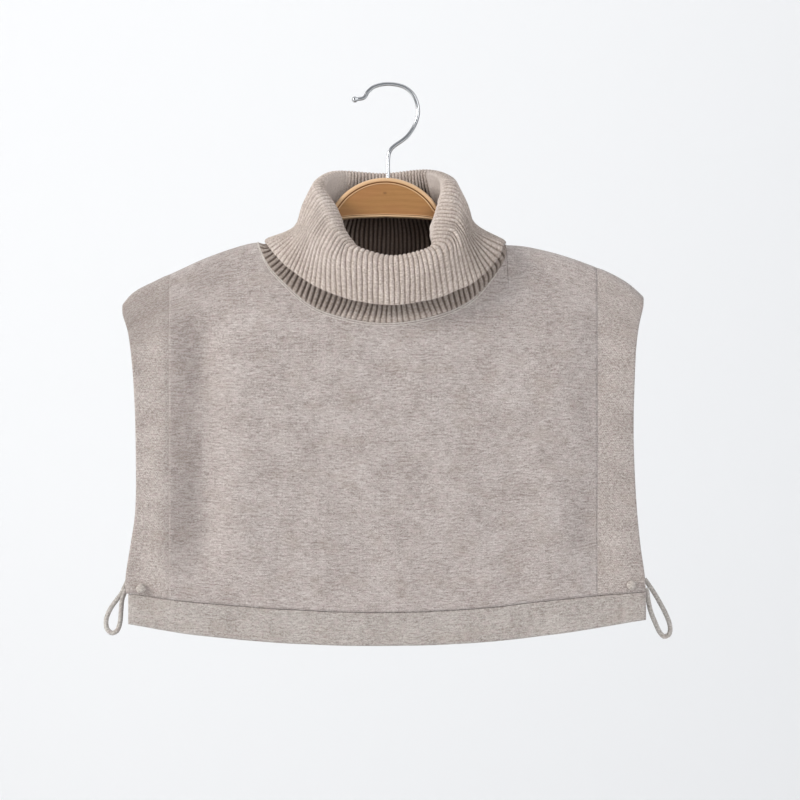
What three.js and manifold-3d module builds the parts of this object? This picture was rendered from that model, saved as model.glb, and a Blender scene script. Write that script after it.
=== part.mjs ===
// A knitted neck warmer, with a roll neck and open sides, on a wooden hanger.
// Millimetres, +Z up, +X to the viewer's right; the front faces -Y.
// The origin is the inner top of the hook, where a rail carries it.

import * as THREE from "three";
import Module from "manifold-3d";
import { mergeVertices } from "three/addons/utils/BufferGeometryUtils.js";

const wasm = await Module();
wasm.setup();

// Walls and clearances
const GAP = 0.3;
const SEAM_GAP = 0.5;
const PANEL_WALL = 2.4;
const BAND_WALL = 3.2;
const BAND_PROUD = 0.4;
const HEM_WALL = 4.0;
const HEM_PROUD = 0.7;
const COLLAR_WALL = 3.0;

// How the cloth hangs: the roll over the hanger's arms and the swell of each panel below it
const SHOULDER_RADIUS = 9.5;
const FRONT_SWELL = 16;
const BACK_SWELL = 5;
const SWELL_REACH = 70;
const HEM_SWELL = 0.5;
const CLOTH_MIDDLE = -5;
const CLOTH_HALF_WIDTH = 212;
const CLOTH_HEIGHT = 300;

// Side bands: the inner edge of each, along its seam with the panels
const LEFT_BAND_INNER = -176;
const RIGHT_BAND_INNER = 167;

// Rib knit of the collar
const RIB_COUNT = 108;
const RIB_RELIEF = 1.3;
const NECK_POINT_RIB = 30;
const FOLD_SLOT = 0.6;
const KNEE_SLACK = 0.35;
const FOLD_ANGLES = [1, 0.6, 0.2].map((turn) => turn * Math.PI);

// Wooden hanger
const HANGER_MIDDLE = -3;
const HANGER_THICK = 10;
const HANGER_ROUND = 2.4;
const BORE_LENGTH = 40;
const HUMP_STEPS = 7;
const TIP_SIDE_FROM = 150;
const HUMP_TOP = -74.2;
const HUMP_RADIUS = 49.4;
const HUMP_HALF_ANGLE = 1.0;
const BORDER_WIDTH = 4.2;
const LIP_WIDTH = 2.2;
const RECESS = 0.7;

// Steel wire hook
const WIRE = 3.2;
const HOOK_X = -0.8;
const STEM_BOTTOM = -88;
const TIP_BALL = 5;
const BALL_SEAT = 0.6;
const HOOK_STEPS = 36;

// Buttons and loops
const BUTTON_WIDTH = 7.6;
const BUTTON_HEIGHT = 4.4;
const CORD = 4;
const CORD_STEPS = 20;
const TUBE_SIDES = 8;

// The garment's fold line over the shoulders, from the left tip to the right tip
const SHOULDER = [
  { x: -215.4, z: -177.5 },
  { x: -206, z: -167 },
  { x: -188.7, z: -157.7 },
  { x: -166, z: -147 },
  { x: -150, z: -139.7 },
  { x: -126, z: -131 },
  { x: -106, z: -126.3 },
  { x: -5, z: -126 },
  { x: 94, z: -128.4 },
  { x: 110, z: -129.6 },
  { x: 138.5, z: -136.3 },
  { x: 171.8, z: -148.4 },
  { x: 191.8, z: -159 },
  { x: 205.6, z: -171.1 },
];

// Outer edge of each side band
const LEFT_EDGE = [
  { z: -412, x: -209.2 },
  { z: -404, x: -211.3 },
  { z: -394, x: -211 },
  { z: -370, x: -207 },
  { z: -349, x: -203.7 },
  { z: -317, x: -202.8 },
  { z: -252, x: -204.7 },
  { z: -212, x: -209 },
  { z: -190, x: -214 },
  { z: -177.5, x: -215.4 },
];
const RIGHT_EDGE = [
  { z: -410, x: 206.3 },
  { z: -394, x: 205.2 },
  { z: -370, x: 201.5 },
  { z: -329, x: 197.7 },
  { z: -280, x: 196.2 },
  { z: -228, x: 197.7 },
  { z: -204, x: 200.3 },
  { z: -183, x: 204.3 },
  { z: -171.1, x: 205.6 },
];

// Seam above the hem bands, and the lower edge
const HEM_SEAM = [
  { x: -209, z: -408.5 },
  { x: -151.6, z: -415.2 },
  { x: -64, z: -421.2 },
  { x: 3.9, z: -422.6 },
  { x: 72.6, z: -419.4 },
  { x: 136.5, z: -412.6 },
  { x: 206, z: -406.6 },
];
const HEM_FOOT = [
  { x: -208, z: -433 },
  { x: -157.2, z: -441 },
  { x: -75.8, z: -447.9 },
  { x: 3.9, z: -449.5 },
  { x: 72.6, z: -446.9 },
  { x: 136.5, z: -440.1 },
  { x: 206.7, z: -429.4 },
];

// Soft vertical folds of the front: a ridge has a positive rise, a valley a negative one, and
// each fades in at its top and out at its foot
const FOLD_FADE = 25;
const FRONT_FOLDS = [
  { x: -180, reach: 11, rise: 2, top: -185, foot: -400 },
  { x: -147, reach: 16, rise: -2.8, top: -190, foot: -385 },
  { x: -113, reach: 19, rise: 1.5, top: -230, foot: -400 },
  { x: 130, reach: 18, rise: 1.8, top: -230, foot: -400 },
  { x: 168, reach: 14, rise: -3, top: -180, foot: -420 },
];

// Neckline: rib number from the front centre, and how far the line lies over the shoulder roll,
// plus to the front and minus to the back
const NECKLINE = [
  { rib: -54, x: -5, over: -22 },
  { rib: -45, x: -38, over: -21.6 },
  { rib: -40, x: -64, over: -20.4 },
  { rib: -37, x: -82, over: -18.3 },
  { rib: -33, x: -99.5, over: -12 },
  { rib: -30, x: -105.6, over: 0 },
  { rib: -26, x: -99.8, over: 19 },
  { rib: -22, x: -88.7, over: 34 },
  { rib: -15, x: -62.4, over: 57.5 },
  { rib: -7, x: -30.5, over: 68.6 },
  { rib: 0, x: 2.3, over: 71.2 },
  { rib: 7, x: 34.4, over: 65.5 },
  { rib: 15, x: 65.1, over: 51.5 },
  { rib: 22, x: 86.3, over: 26.5 },
  { rib: 26, x: 92, over: 13.5 },
  { rib: 30, x: 94, over: 0 },
  { rib: 33, x: 88.5, over: -12 },
  { rib: 37, x: 71, over: -18.3 },
  { rib: 40, x: 54, over: -20.4 },
  { rib: 45, x: 28, over: -21.6 },
];

// The collar at named ribs: the crest of its fold, the knee where the fall turns outward, and the
// fall's free edge. Slack is the room between the fall and the stand at the free edge. Inner is the
// fold's radius toward the neck. Outer and drop are its reach and its depth toward the fall.
const COLLAR = [
  {
    rib: -54, slack: 8, inner: 4.9, outer: 5.4, drop: 5.4,
    rimX: -5, rimY: 27.6, rimZ: -67,
    kneeX: -4.6, kneeY: 33.5, kneeZ: -97,
    edgeX: -4.4, edgeY: 32, edgeZ: -119.7,
  },
  {
    rib: -43, slack: 5, inner: 4.9, outer: 5.6, drop: 5.6,
    rimX: -36, rimY: 22, rimZ: -65.8,
    kneeX: -42, kneeY: 28, kneeZ: -100,
    edgeX: -48, edgeY: 29, edgeZ: -118.8,
  },
  {
    rib: -38, slack: 2.5, inner: 4.9, outer: 6.4, drop: 6,
    rimX: -48, rimY: 14.5, rimZ: -67.5,
    kneeX: -60.5, kneeY: 19.5, kneeZ: -106,
    edgeX: -76, edgeY: 23, edgeZ: -120.5,
  },
  {
    rib: -33, slack: 0.8, inner: 4.9, outer: 6.8, drop: 6,
    rimX: -54.6, rimY: 5, rimZ: -73,
    kneeX: -74, kneeY: 5, kneeZ: -112,
    edgeX: -99, edgeY: 6, edgeZ: -123,
  },
  {
    rib: -28, slack: 0.8, inner: 4.9, outer: 7.6, drop: 5.6,
    rimX: -54.5, rimY: -6, rimZ: -80.5,
    kneeX: -75.5, kneeY: -8, kneeZ: -115,
    edgeX: -97.5, edgeY: -14, edgeZ: -128.5,
  },
  {
    rib: -22.5, slack: 3, inner: 4.9, outer: 9.6, drop: 5.2,
    rimX: -45.5, rimY: -18, rimZ: -95.5,
    kneeX: -68, kneeY: -24.5, kneeZ: -121,
    edgeX: -84.3, edgeY: -27, edgeZ: -144.5,
  },
  {
    rib: -19, slack: 5, inner: 4.9, outer: 10.4, drop: 5,
    rimX: -41.2, rimY: -24.5, rimZ: -104.5,
    kneeX: -64, kneeY: -30.5, kneeZ: -127.5,
    edgeX: -74, edgeY: -31.5, edgeZ: -153,
  },
  {
    rib: -15, slack: 7, inner: 4.9, outer: 10, drop: 5,
    rimX: -37, rimY: -30.5, rimZ: -115,
    kneeX: -55.7, kneeY: -37.5, kneeZ: -135.4,
    edgeX: -60.1, edgeY: -36, edgeZ: -162.6,
  },
  {
    rib: -11, slack: 8.7, inner: 4.9, outer: 8, drop: 5,
    rimX: -30.4, rimY: -35, rimZ: -125.5,
    kneeX: -43.3, kneeY: -44, kneeZ: -143.6,
    edgeX: -43.5, edgeY: -39.5, edgeZ: -170.3,
  },
  {
    rib: -7, slack: 10, inner: 4.9, outer: 6, drop: 5.2,
    rimX: -23, rimY: -38.5, rimZ: -133,
    kneeX: -27.5, kneeY: -48, kneeZ: -150.5,
    edgeX: -26.8, edgeY: -42, edgeZ: -175.6,
  },
  {
    rib: 0, slack: 11, inner: 4.9, outer: 5.6, drop: 5.6,
    rimX: 2.1, rimY: -41, rimZ: -139.6,
    kneeX: 2.3, kneeY: -49, kneeZ: -157.5,
    edgeX: 2.3, edgeY: -44, edgeZ: -179.2,
  },
  {
    rib: 7, slack: 10, inner: 5, outer: 6, drop: 5.6,
    rimX: 25.3, rimY: -39.5, rimZ: -135.4,
    kneeX: 29.9, kneeY: -47.5, kneeZ: -153,
    edgeX: 31.5, edgeY: -42, edgeZ: -175.2,
  },
  {
    rib: 10, slack: 9, inner: 5.3, outer: 7.5, drop: 5,
    rimX: 33.5, rimY: -37.5, rimZ: -131.5,
    kneeX: 41.4, kneeY: -45, kneeZ: -148,
    edgeX: 44.9, edgeY: -40, edgeZ: -171.2,
  },
  {
    rib: 12, slack: 8.3, inner: 5.9, outer: 10, drop: 4.8,
    rimX: 36.5, rimY: -35, rimZ: -126.8,
    kneeX: 49.5, kneeY: -42, kneeZ: -141.5,
    edgeX: 53.6, edgeY: -38.5, edgeZ: -167.1,
  },
  {
    rib: 15, slack: 7, inner: 6.7, outer: 14, drop: 5,
    rimX: 37.9, rimY: -31, rimZ: -117.8,
    kneeX: 57.5, kneeY: -36, kneeZ: -133,
    edgeX: 64.7, edgeY: -36, edgeZ: -162.1,
  },
  {
    rib: 18, slack: 4.6, inner: 7.3, outer: 15.4, drop: 5.5,
    rimX: 39.1, rimY: -26, rimZ: -109.2,
    kneeX: 62.5, kneeY: -29.5, kneeZ: -127,
    edgeX: 75.5, edgeY: -32.5, edgeZ: -153.4,
  },
  {
    rib: 22, slack: 3, inner: 7.4, outer: 12.8, drop: 6.5,
    rimX: 42.4, rimY: -18.5, rimZ: -97,
    kneeX: 66.8, kneeY: -22, kneeZ: -121,
    edgeX: 88, edgeY: -26, edgeZ: -138.8,
  },
  {
    rib: 24, slack: 2, inner: 7.2, outer: 11, drop: 7,
    rimX: 44.2, rimY: -14.5, rimZ: -90.7,
    kneeX: 68, kneeY: -16.5, kneeZ: -117.5,
    edgeX: 91.8, edgeY: -21, edgeZ: -129.5,
  },
  {
    rib: 28, slack: 0.4, inner: 6.4, outer: 9.6, drop: 7.6,
    rimX: 47.3, rimY: -4, rimZ: -78.8,
    kneeX: 68.8, kneeY: -3, kneeZ: -111.5,
    edgeX: 94.5, edgeY: -4, edgeZ: -125.8,
  },
  {
    rib: 33, slack: 0.6, inner: 5.4, outer: 9, drop: 7.6,
    rimX: 45.8, rimY: 7, rimZ: -70.6,
    kneeX: 67, kneeY: 9, kneeZ: -110,
    edgeX: 90, edgeY: 15, edgeZ: -123.5,
  },
  {
    rib: 38, slack: 2.5, inner: 4.9, outer: 7, drop: 7,
    rimX: 38, rimY: 15.5, rimZ: -66.4,
    kneeX: 51, kneeY: 21, kneeZ: -105.5,
    edgeX: 62, edgeY: 25.5, edgeZ: -119.5,
  },
  {
    rib: 43, slack: 5, inner: 4.9, outer: 5.6, drop: 5.6,
    rimX: 25.5, rimY: 22.5, rimZ: -64.8,
    kneeX: 31, kneeY: 28.5, kneeZ: -100,
    edgeX: 35.5, edgeY: 29.5, edgeZ: -118.3,
  },
];

// Upper and lower edge of one hanger arm, by distance from the hanger's middle
const ARM_TOP = [
  { out: 47, z: -104 },
  { out: 56, z: -114 },
  { out: 66, z: -123.6 },
  { out: 80, z: -130.4 },
  { out: 102, z: -133.8 },
  { out: 122, z: -136.4 },
  { out: 146, z: -144 },
  { out: 162, z: -151.2 },
  { out: 172, z: -157 },
];
const ARM_TIP = { out: 178, z: -165 };
const ARM_FOOT = [
  { out: 172, z: -173.5 },
  { out: 140, z: -164 },
  { out: 102, z: -149 },
  { out: 85, z: -141.5 },
  { out: 70, z: -134.5 },
  { out: 58, z: -124.5 },
  { out: 46, z: -113 },
  { out: 36, z: -108 },
  { out: 0, z: -106 },
];

// Centre line of the hook above the wood
const HOOK_LINE = [
  { x: HOOK_X, z: STEM_BOTTOM },
  { x: HOOK_X, z: -73 },
  { x: -0.4, z: -56 },
  { x: 2.5, z: -50 },
  { x: 14.1, z: -41.1 },
  { x: 20.9, z: -31 },
  { x: 23.4, z: -20 },
  { x: 20.4, z: -8.6 },
  { x: 12.4, z: -1 },
  { x: 0, z: 1.6 },
  { x: -11, z: -0.2 },
  { x: -17, z: -4.6 },
  { x: -20, z: -9.4 },
  { x: -26, z: -10.7 },
];

// Each cord loop, from the band's edge round and back
const LEFT_LOOP = [
  { x: -212.8, y: 10.2, z: -400.6 },
  { x: -214.6, y: 10.4, z: -404.6 },
  { x: -217.8, y: 10.4, z: -411 },
  { x: -222.4, y: 10.2, z: -417 },
  { x: -226.6, y: 9.8, z: -423.4 },
  { x: -229.4, y: 9.2, z: -431 },
  { x: -228.8, y: 8.6, z: -438.4 },
  { x: -224.8, y: 8, z: -442 },
  { x: -220.4, y: 7.4, z: -440 },
  { x: -217.8, y: 6.8, z: -432.6 },
  { x: -217, y: 6.2, z: -423.6 },
  { x: -216, y: 5.8, z: -414.6 },
  { x: -213.8, y: 5.8, z: -408.6 },
  { x: -212.8, y: 5.9, z: -406.4 },
];
const RIGHT_LOOP = [
  { x: 207.4, y: 10.2, z: -398.6 },
  { x: 210.2, y: 10.4, z: -402.4 },
  { x: 215, y: 10.4, z: -409.6 },
  { x: 220, y: 10.2, z: -418.2 },
  { x: 224.8, y: 9.8, z: -427.6 },
  { x: 227.8, y: 9.2, z: -436.6 },
  { x: 227, y: 8.6, z: -443 },
  { x: 222.8, y: 8, z: -444.8 },
  { x: 219, y: 7.4, z: -441 },
  { x: 215.4, y: 6.8, z: -433.4 },
  { x: 212, y: 6.2, z: -425 },
  { x: 209.8, y: 5.8, z: -416 },
  { x: 208.8, y: 5.8, z: -409 },
  { x: 207.6, y: 5.9, z: -405.6 },
];

// Smooth value between the rows of a table, with the slope at each row from its neighbours
function tableAt(table, at, from, to) {
  const last = table.length - 1;
  let row = 0;
  while (row < last - 1 && at > table[row + 1][from]) row += 1;
  const slope = (index) => {
    const before = table[Math.max(index - 1, 0)];
    const after = table[Math.min(index + 1, last)];
    return (after[to] - before[to]) / (after[from] - before[from]);
  };
  const low = table[row];
  const high = table[row + 1];
  const span = high[from] - low[from];
  const t = Math.min(Math.max((at - low[from]) / span, 0), 1);
  const t2 = t * t;
  const t3 = t2 * t;
  const start = (2 * t3 - 3 * t2 + 1) * low[to] + (t3 - 2 * t2 + t) * span * slope(row);
  const end = (3 * t2 - 2 * t3) * high[to] + (t3 - t2) * span * slope(row + 1);
  return start + end;
}

// A table round the whole neck, opened out so that its ends meet smoothly
function ringTable(table) {
  const before = table.slice(-2).map((row) => ({ ...row, rib: row.rib - RIB_COUNT }));
  const after = table.slice(0, 3).map((row) => ({ ...row, rib: row.rib + RIB_COUNT }));
  return [...before, ...table, ...after];
}

const NECK_RING = ringTable(NECKLINE);
const COLLAR_RING = ringTable(COLLAR);

function ringVector(rib, part) {
  const read = (axis) => tableAt(COLLAR_RING, rib, "rib", part + axis);
  return new THREE.Vector3(read("X"), read("Y"), read("Z"));
}

const mix = (a, b, t) => a + (b - a) * t;
const steps = (count) => Array.from({ length: count + 1 }, (_, index) => index / count);

// Depth that the cloth gains below the roll, before the folds
function swell(side, x, drop) {
  const across = 1 - ((x - CLOTH_MIDDLE) / CLOTH_HALF_WIDTH) ** 2;
  const down = THREE.MathUtils.smoothstep(drop, 0, SWELL_REACH);
  const hang = mix(1, HEM_SWELL, drop / CLOTH_HEIGHT);
  const amount = side < 0 ? FRONT_SWELL : BACK_SWELL;
  return amount * Math.max(across, 0) * down * hang;
}

function foldRise(side, x, z) {
  if (side > 0) return 0;
  return FRONT_FOLDS.reduce((sum, fold) => {
    const away = (x - fold.x) / fold.reach;
    const below = THREE.MathUtils.smoothstep(-z, -fold.top - FOLD_FADE, -fold.top + FOLD_FADE);
    const past = THREE.MathUtils.smoothstep(-z, -fold.foot - FOLD_FADE, -fold.foot + FOLD_FADE);
    const fade = below * (1 - past);
    return sum + fold.rise * Math.exp(-away * away) * fade;
  }, 0);
}

// A point of the cloth's outer face: side is -1 on the front and 1 on the back, and over is the way
// from the fold line round the shoulder roll and down
function clothPoint(side, x, over) {
  const quarter = SHOULDER_RADIUS * Math.PI / 2;
  const turn = Math.min(over, quarter) / SHOULDER_RADIUS;
  const drop = SHOULDER_RADIUS * (1 - Math.cos(turn)) + Math.max(over - quarter, 0);
  const z = tableAt(SHOULDER, x, "x", "z") - drop;
  const depth = SHOULDER_RADIUS * Math.sin(turn) + swell(side, x, drop) + foldRise(side, x, z);
  return new THREE.Vector3(x, side * depth, z);
}

function clothNormal(side, x, over) {
  const step = 0.4;
  const start = Math.max(over, 0);
  const across = clothPoint(side, x + step, start).sub(clothPoint(side, x - step, start));
  const round = clothPoint(side, x, start + step).sub(clothPoint(side, x, start));
  if (over < step) round.set(0, side, 0);
  return across.cross(round).multiplyScalar(side).normalize();
}

function overAt(x, z) {
  const drop = tableAt(SHOULDER, x, "x", "z") - z;
  if (drop <= 0) return 0;
  if (drop >= SHOULDER_RADIUS) return SHOULDER_RADIUS * (Math.PI / 2 - 1) + drop;
  return SHOULDER_RADIUS * Math.acos(1 - drop / SHOULDER_RADIUS);
}

// One closed body from triangles, with its faces turned outward
function closedGeometry(points, triangles) {
  const position = new Float32Array(points.flatMap((point) => [point.x, point.y, point.z]));
  let volume = 0;
  for (const [a, b, c] of triangles) {
    volume += points[a].dot(points[b].clone().cross(points[c]));
  }
  const index = triangles.flatMap(([a, b, c]) => (volume < 0 ? [a, c, b] : [a, b, c]));
  const geometry = new THREE.BufferGeometry();
  geometry.setAttribute("position", new THREE.BufferAttribute(position, 3));
  geometry.setIndex(index);
  return geometry;
}

// Cloth slab between two grids of points, closed along its four edges
function slabGeometry(outer, inner) {
  const rows = outer.length;
  const columns = outer[0].length;
  const points = [...outer.flat(), ...inner.flat()];
  const at = (face, row, column) => face * rows * columns + row * columns + column;
  const triangles = [];
  const quad = (a, b, c, d) => triangles.push([a, b, c], [a, c, d]);
  for (let row = 0; row < rows - 1; row += 1) {
    for (let column = 0; column < columns - 1; column += 1) {
      quad(at(0, row, column), at(0, row, column + 1), at(0, row + 1, column + 1), at(0, row + 1, column));
      quad(at(1, row, column), at(1, row + 1, column), at(1, row + 1, column + 1), at(1, row, column + 1));
    }
  }
  for (let column = 0; column < columns - 1; column += 1) {
    quad(at(0, 0, column), at(1, 0, column), at(1, 0, column + 1), at(0, 0, column + 1));
    const last = rows - 1;
    quad(at(0, last, column), at(0, last, column + 1), at(1, last, column + 1), at(1, last, column));
  }
  for (let row = 0; row < rows - 1; row += 1) {
    quad(at(0, row, 0), at(0, row + 1, 0), at(1, row + 1, 0), at(1, row, 0));
    const last = columns - 1;
    quad(at(0, row, last), at(1, row, last), at(1, row + 1, last), at(0, row + 1, last));
  }
  return closedGeometry(points, triangles);
}

// Solid swept round the neck: each loop is a closed section, and the last joins the first
function ringGeometry(loops) {
  const count = loops.length;
  const size = loops[0].length;
  const triangles = [];
  for (let loop = 0; loop < count; loop += 1) {
    const next = (loop + 1) % count;
    for (let row = 0; row < size; row += 1) {
      const above = (row + 1) % size;
      const corners = [loop * size + row, next * size + row, next * size + above, loop * size + above];
      triangles.push([corners[0], corners[1], corners[2]], [corners[0], corners[2], corners[3]]);
    }
  }
  return closedGeometry(loops.flat(), triangles);
}

// Cloth slab whose grid gives, for each place, the side, x and way over the shoulder
function clothSlab(grid, wall, proud, shift) {
  const face = (inset) => grid.map((row) => row.map(({ side, x, over }) => {
    const normal = clothNormal(side, x, over);
    const point = clothPoint(side, x, Math.max(over, 0)).addScaledVector(normal, proud - inset);
    point.y += side * shift;
    return point;
  }));
  return slabGeometry(face(0), face(wall));
}

// Rows down a panel: close together on the roll, then even
const PANEL_ROWS = [0, 0.014, 0.03, 0.055, 0.11, 0.24, 0.5, 0.78, 1];
const BAND_ROWS = [0, 0.025, 0.065, 0.14, 0.26, 0.42, 0.6, 0.75, 0.88, 0.95, 1];
const SHOULDER_STEPS = 4;
const RIBS_A_STEP = 2;

// Points of the neckline, one every other rib, that the panels and the collar share
function neckNode(rib) {
  return {
    x: tableAt(NECK_RING, rib, "rib", "x"),
    over: tableAt(NECK_RING, rib, "rib", "over"),
  };
}

function panelTop(side) {
  const nodes = [];
  const span = side < 0 ? NECK_POINT_RIB : RIB_COUNT / 2 - NECK_POINT_RIB;
  for (let rib = -span; rib <= span; rib += RIBS_A_STEP) {
    const place = side < 0 ? rib : -RIB_COUNT / 2 - rib;
    const wrapped = place < -RIB_COUNT / 2 ? place + RIB_COUNT : place;
    const node = neckNode(wrapped);
    nodes.push({ x: node.x, over: Math.abs(rib) === span ? 0 : Math.abs(node.over) });
  }
  nodes.sort((a, b) => a.x - b.x);
  const left = nodes[0].x;
  const right = nodes[nodes.length - 1].x;
  const from = LEFT_BAND_INNER + SEAM_GAP;
  const to = RIGHT_BAND_INNER - SEAM_GAP;
  const leftShoulder = steps(SHOULDER_STEPS).slice(0, -1).map((t) => ({ x: mix(from, left, t), over: 0 }));
  const rightShoulder = steps(SHOULDER_STEPS).slice(1).map((t) => ({ x: mix(right, to, t), over: 0 }));
  return [...leftShoulder, ...nodes, ...rightShoulder];
}

function panelGeometry(side) {
  const top = panelTop(side);
  const from = top[0].x;
  const to = top[top.length - 1].x;
  const grid = PANEL_ROWS.map((down) => top.map((node, index) => {
    const even = mix(from, to, index / (top.length - 1));
    const foot = mix(node.x, even, 0.5);
    const x = mix(node.x, foot, down);
    const end = overAt(foot, tableAt(HEM_SEAM, foot, "x", "z") + GAP);
    return { side, x, over: mix(node.over, end, down) };
  }));
  return clothSlab(grid, PANEL_WALL, 0, GAP / 2);
}

// Side band: one strip from the front hem up over the shoulder and down the back
function bandGeometry(edge, inner, tip) {
  const across = steps(2);
  const halfRows = (side) => BAND_ROWS.map((down) => across.map((share) => {
    const topX = mix(tip.x, inner, share);
    const seamZ = tableAt(HEM_SEAM, topX, "x", "z") + GAP;
    const edgeZ = mix(tip.z, tableAt(HEM_SEAM, tip.x, "x", "z"), down);
    const x = mix(tableAt(edge, edgeZ, "z", "x"), inner, share);
    const over = down * overAt(x, seamZ);
    return { side, x, over };
  }));
  const front = halfRows(-1).reverse();
  const back = halfRows(1).slice(1);
  return clothSlab([...front, ...back], BAND_WALL, BAND_PROUD, 0);
}

// Hem band: doubled cloth between the seam and the lower edge
const HEM_ROWS = [0, 0.12, 0.88, 1];
const HEM_ROUND = [0.25, 0, 0, 0.25];
const HEM_COLUMNS = 20;

function hemGeometry(side) {
  const from = HEM_SEAM[0].x;
  const to = HEM_SEAM[HEM_SEAM.length - 1].x;
  const face = (sign) => HEM_ROWS.map((down, row) => steps(HEM_COLUMNS).map((share) => {
    const x = mix(from, to, share);
    const z = mix(tableAt(HEM_SEAM, x, "x", "z"), tableAt(HEM_FOOT, x, "x", "z"), down);
    const over = overAt(x, z);
    const normal = clothNormal(side, x, over);
    const half = HEM_WALL * (0.5 - HEM_ROUND[row]);
    const middle = HEM_PROUD - HEM_WALL / 2;
    return clothPoint(side, x, over).addScaledVector(normal, middle + sign * half);
  }));
  return slabGeometry(face(1), face(-1));
}

// The neck edge that the collar stands on, straight between the nodes that the panels use
function neckEdge(rib) {
  const low = Math.floor(rib / RIBS_A_STEP) * RIBS_A_STEP;
  const share = (rib - low) / RIBS_A_STEP;
  const ends = [low, low + RIBS_A_STEP].map((place) => {
    const wrapped = place >= RIB_COUNT / 2 ? place - RIB_COUNT : place;
    const node = neckNode(wrapped);
    const atPoint = Math.abs(wrapped) === NECK_POINT_RIB;
    const side = node.over >= 0 ? -1 : 1;
    const over = atPoint ? 0 : Math.abs(node.over);
    const point = clothPoint(side, node.x, over);
    if (!atPoint) point.y += side * GAP / 2;
    return { point, normal: clothNormal(side, node.x, over) };
  });
  return {
    point: ends[0].point.lerp(ends[1].point, share),
    normal: ends[0].normal.lerp(ends[1].normal, share).normalize(),
  };
}

// The collar's section at one rib place, before the ribs stand out: the fold is a quarter circle
// toward the neck and a quarter oval toward the fall, which meet at its crest, square to its line
function collarSection(rib) {
  const crest = ringVector(rib, "rim");
  const along = ringVector(rib + 0.5, "rim").sub(ringVector(rib - 0.5, "rim")).normalize();
  const up = new THREE.Vector3(0, 0, 1).addScaledVector(along, -along.z).normalize();
  const out = along.clone().cross(up).normalize();
  const knee = ringVector(rib, "knee");
  const edge = ringVector(rib, "edge");
  const [slack, inner, outer, drop] = ["slack", "inner", "outer", "drop"]
    .map((key) => tableAt(COLLAR_RING, rib, "rib", key));
  return { crest, up, out, inner, outer, drop, knee, edge, slack };
}

// A place on the fold, so deep below its face: no angle is its shoulder on the fall's side, a
// quarter turn its crest, and half a turn its side toward the neck
function foldPoint(part, angle, inset) {
  const inside = angle > Math.PI / 2;
  const [reach, drop] = inside ? [part.inner, part.inner] : [part.outer, part.drop];
  return part.crest.clone()
    .addScaledVector(part.out, (reach - inset) * Math.cos(angle))
    .addScaledVector(part.up, (drop - inset) * Math.sin(angle) - drop);
}

// Which way the fall looks at its knee or edge, away from the neck
function fallNormal(rib, part, key, from) {
  const round = ringVector(rib + 0.5, key).sub(ringVector(rib - 0.5, key));
  const normal = round.cross(part.edge.clone().sub(from)).normalize();
  return normal.dot(part.out) < 0 ? normal.negate() : normal;
}

// Foot of the stand, just clear of the panels' neck edge
function standFoot(rib, towards) {
  const neck = neckEdge(rib);
  const ahead = neckEdge(rib + 0.5).point.sub(neckEdge(rib - 0.5).point).normalize();
  const rise = ahead.cross(neck.normal).normalize();
  if (rise.dot(towards.clone().sub(neck.point)) < 0) rise.negate();
  return { point: neck.point.addScaledVector(rise, GAP + 0.1), normal: neck.normal };
}

function collarLoop(step) {
  const rib = step / 2 - RIB_COUNT / 2;
  const ridge = (step % 2 === 0 ? 1 : -1) * RIB_RELIEF / 2;
  const part = collarSection(rib);
  const shoulder = foldPoint(part, 0, 0);
  const foot = standFoot(rib, foldPoint(part, Math.PI, 0));
  const kneeNormal = fallNormal(rib, part, "knee", shoulder);
  const edgeNormal = fallNormal(rib, part, "edge", part.knee);
  const kneeSlack = FOLD_SLOT + part.slack * KNEE_SLACK;
  const atFoot = (inset) => foot.point.clone().addScaledVector(foot.normal, ridge * 0.5 - inset);
  const atKnee = (inset) => part.knee.clone().addScaledVector(kneeNormal, ridge - inset);
  const atEdge = (inset) => part.edge.clone().addScaledVector(edgeNormal, ridge - inset);
  const folded = FOLD_ANGLES.map((angle) => {
    const inside = angle > Math.PI / 2;
    return foldPoint(part, angle, inside ? ridge : -ridge);
  });
  return [
    atFoot(COLLAR_WALL),
    atEdge(2 * COLLAR_WALL + part.slack),
    atKnee(2 * COLLAR_WALL + kneeSlack),
    ...folded,
    atKnee(0),
    atEdge(0),
    atEdge(COLLAR_WALL),
    atKnee(COLLAR_WALL),
    foldPoint(part, Math.PI / 2, COLLAR_WALL),
    atKnee(COLLAR_WALL + kneeSlack),
    atEdge(COLLAR_WALL + part.slack),
    atFoot(0),
  ];
}

function collarGeometry() {
  const loops = [];
  for (let step = 0; step < RIB_COUNT * 2; step += 1) loops.push(collarLoop(step));
  return ringGeometry(loops);
}

// Outline of the hanger, drawn inside its edges by a border on top and a lip below
function hangerOutline(border, lip) {
  const hump = new THREE.Shape();
  const centre = HUMP_TOP - HUMP_RADIUS;
  const reach = HUMP_RADIUS - border;
  const right = [];
  for (const t of steps(HUMP_STEPS)) {
    const angle = Math.PI / 2 - HUMP_HALF_ANGLE * t;
    right.push([reach * Math.cos(angle), centre + reach * Math.sin(angle)]);
  }
  for (const row of ARM_TOP) right.push([row.out - border * 0.45, row.z - border * 0.9]);
  right.push([ARM_TIP.out - border, ARM_TIP.z]);
  for (const row of ARM_FOOT) right.push([row.out - (row.out > TIP_SIDE_FROM ? lip : 0), row.z + lip]);
  const left = right.slice(1, -1).reverse().map(([x, z]) => [-x, z]);
  const outline = [...right, ...left];
  outline.forEach(([x, z], index) => {
    if (index === 0) hump.moveTo(HANGER_MIDDLE + x, z);
    else hump.lineTo(HANGER_MIDDLE + x, z);
  });
  hump.closePath();
  return hump;
}

// A shape drawn in x and z, pushed along Y
function pushedAlongY(shape, from, depth, options) {
  const geometry = new THREE.ExtrudeGeometry(shape, { depth, bevelEnabled: false, ...options });
  geometry.rotateX(Math.PI / 2);
  geometry.translate(0, from + depth, 0);
  return geometry;
}

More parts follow.
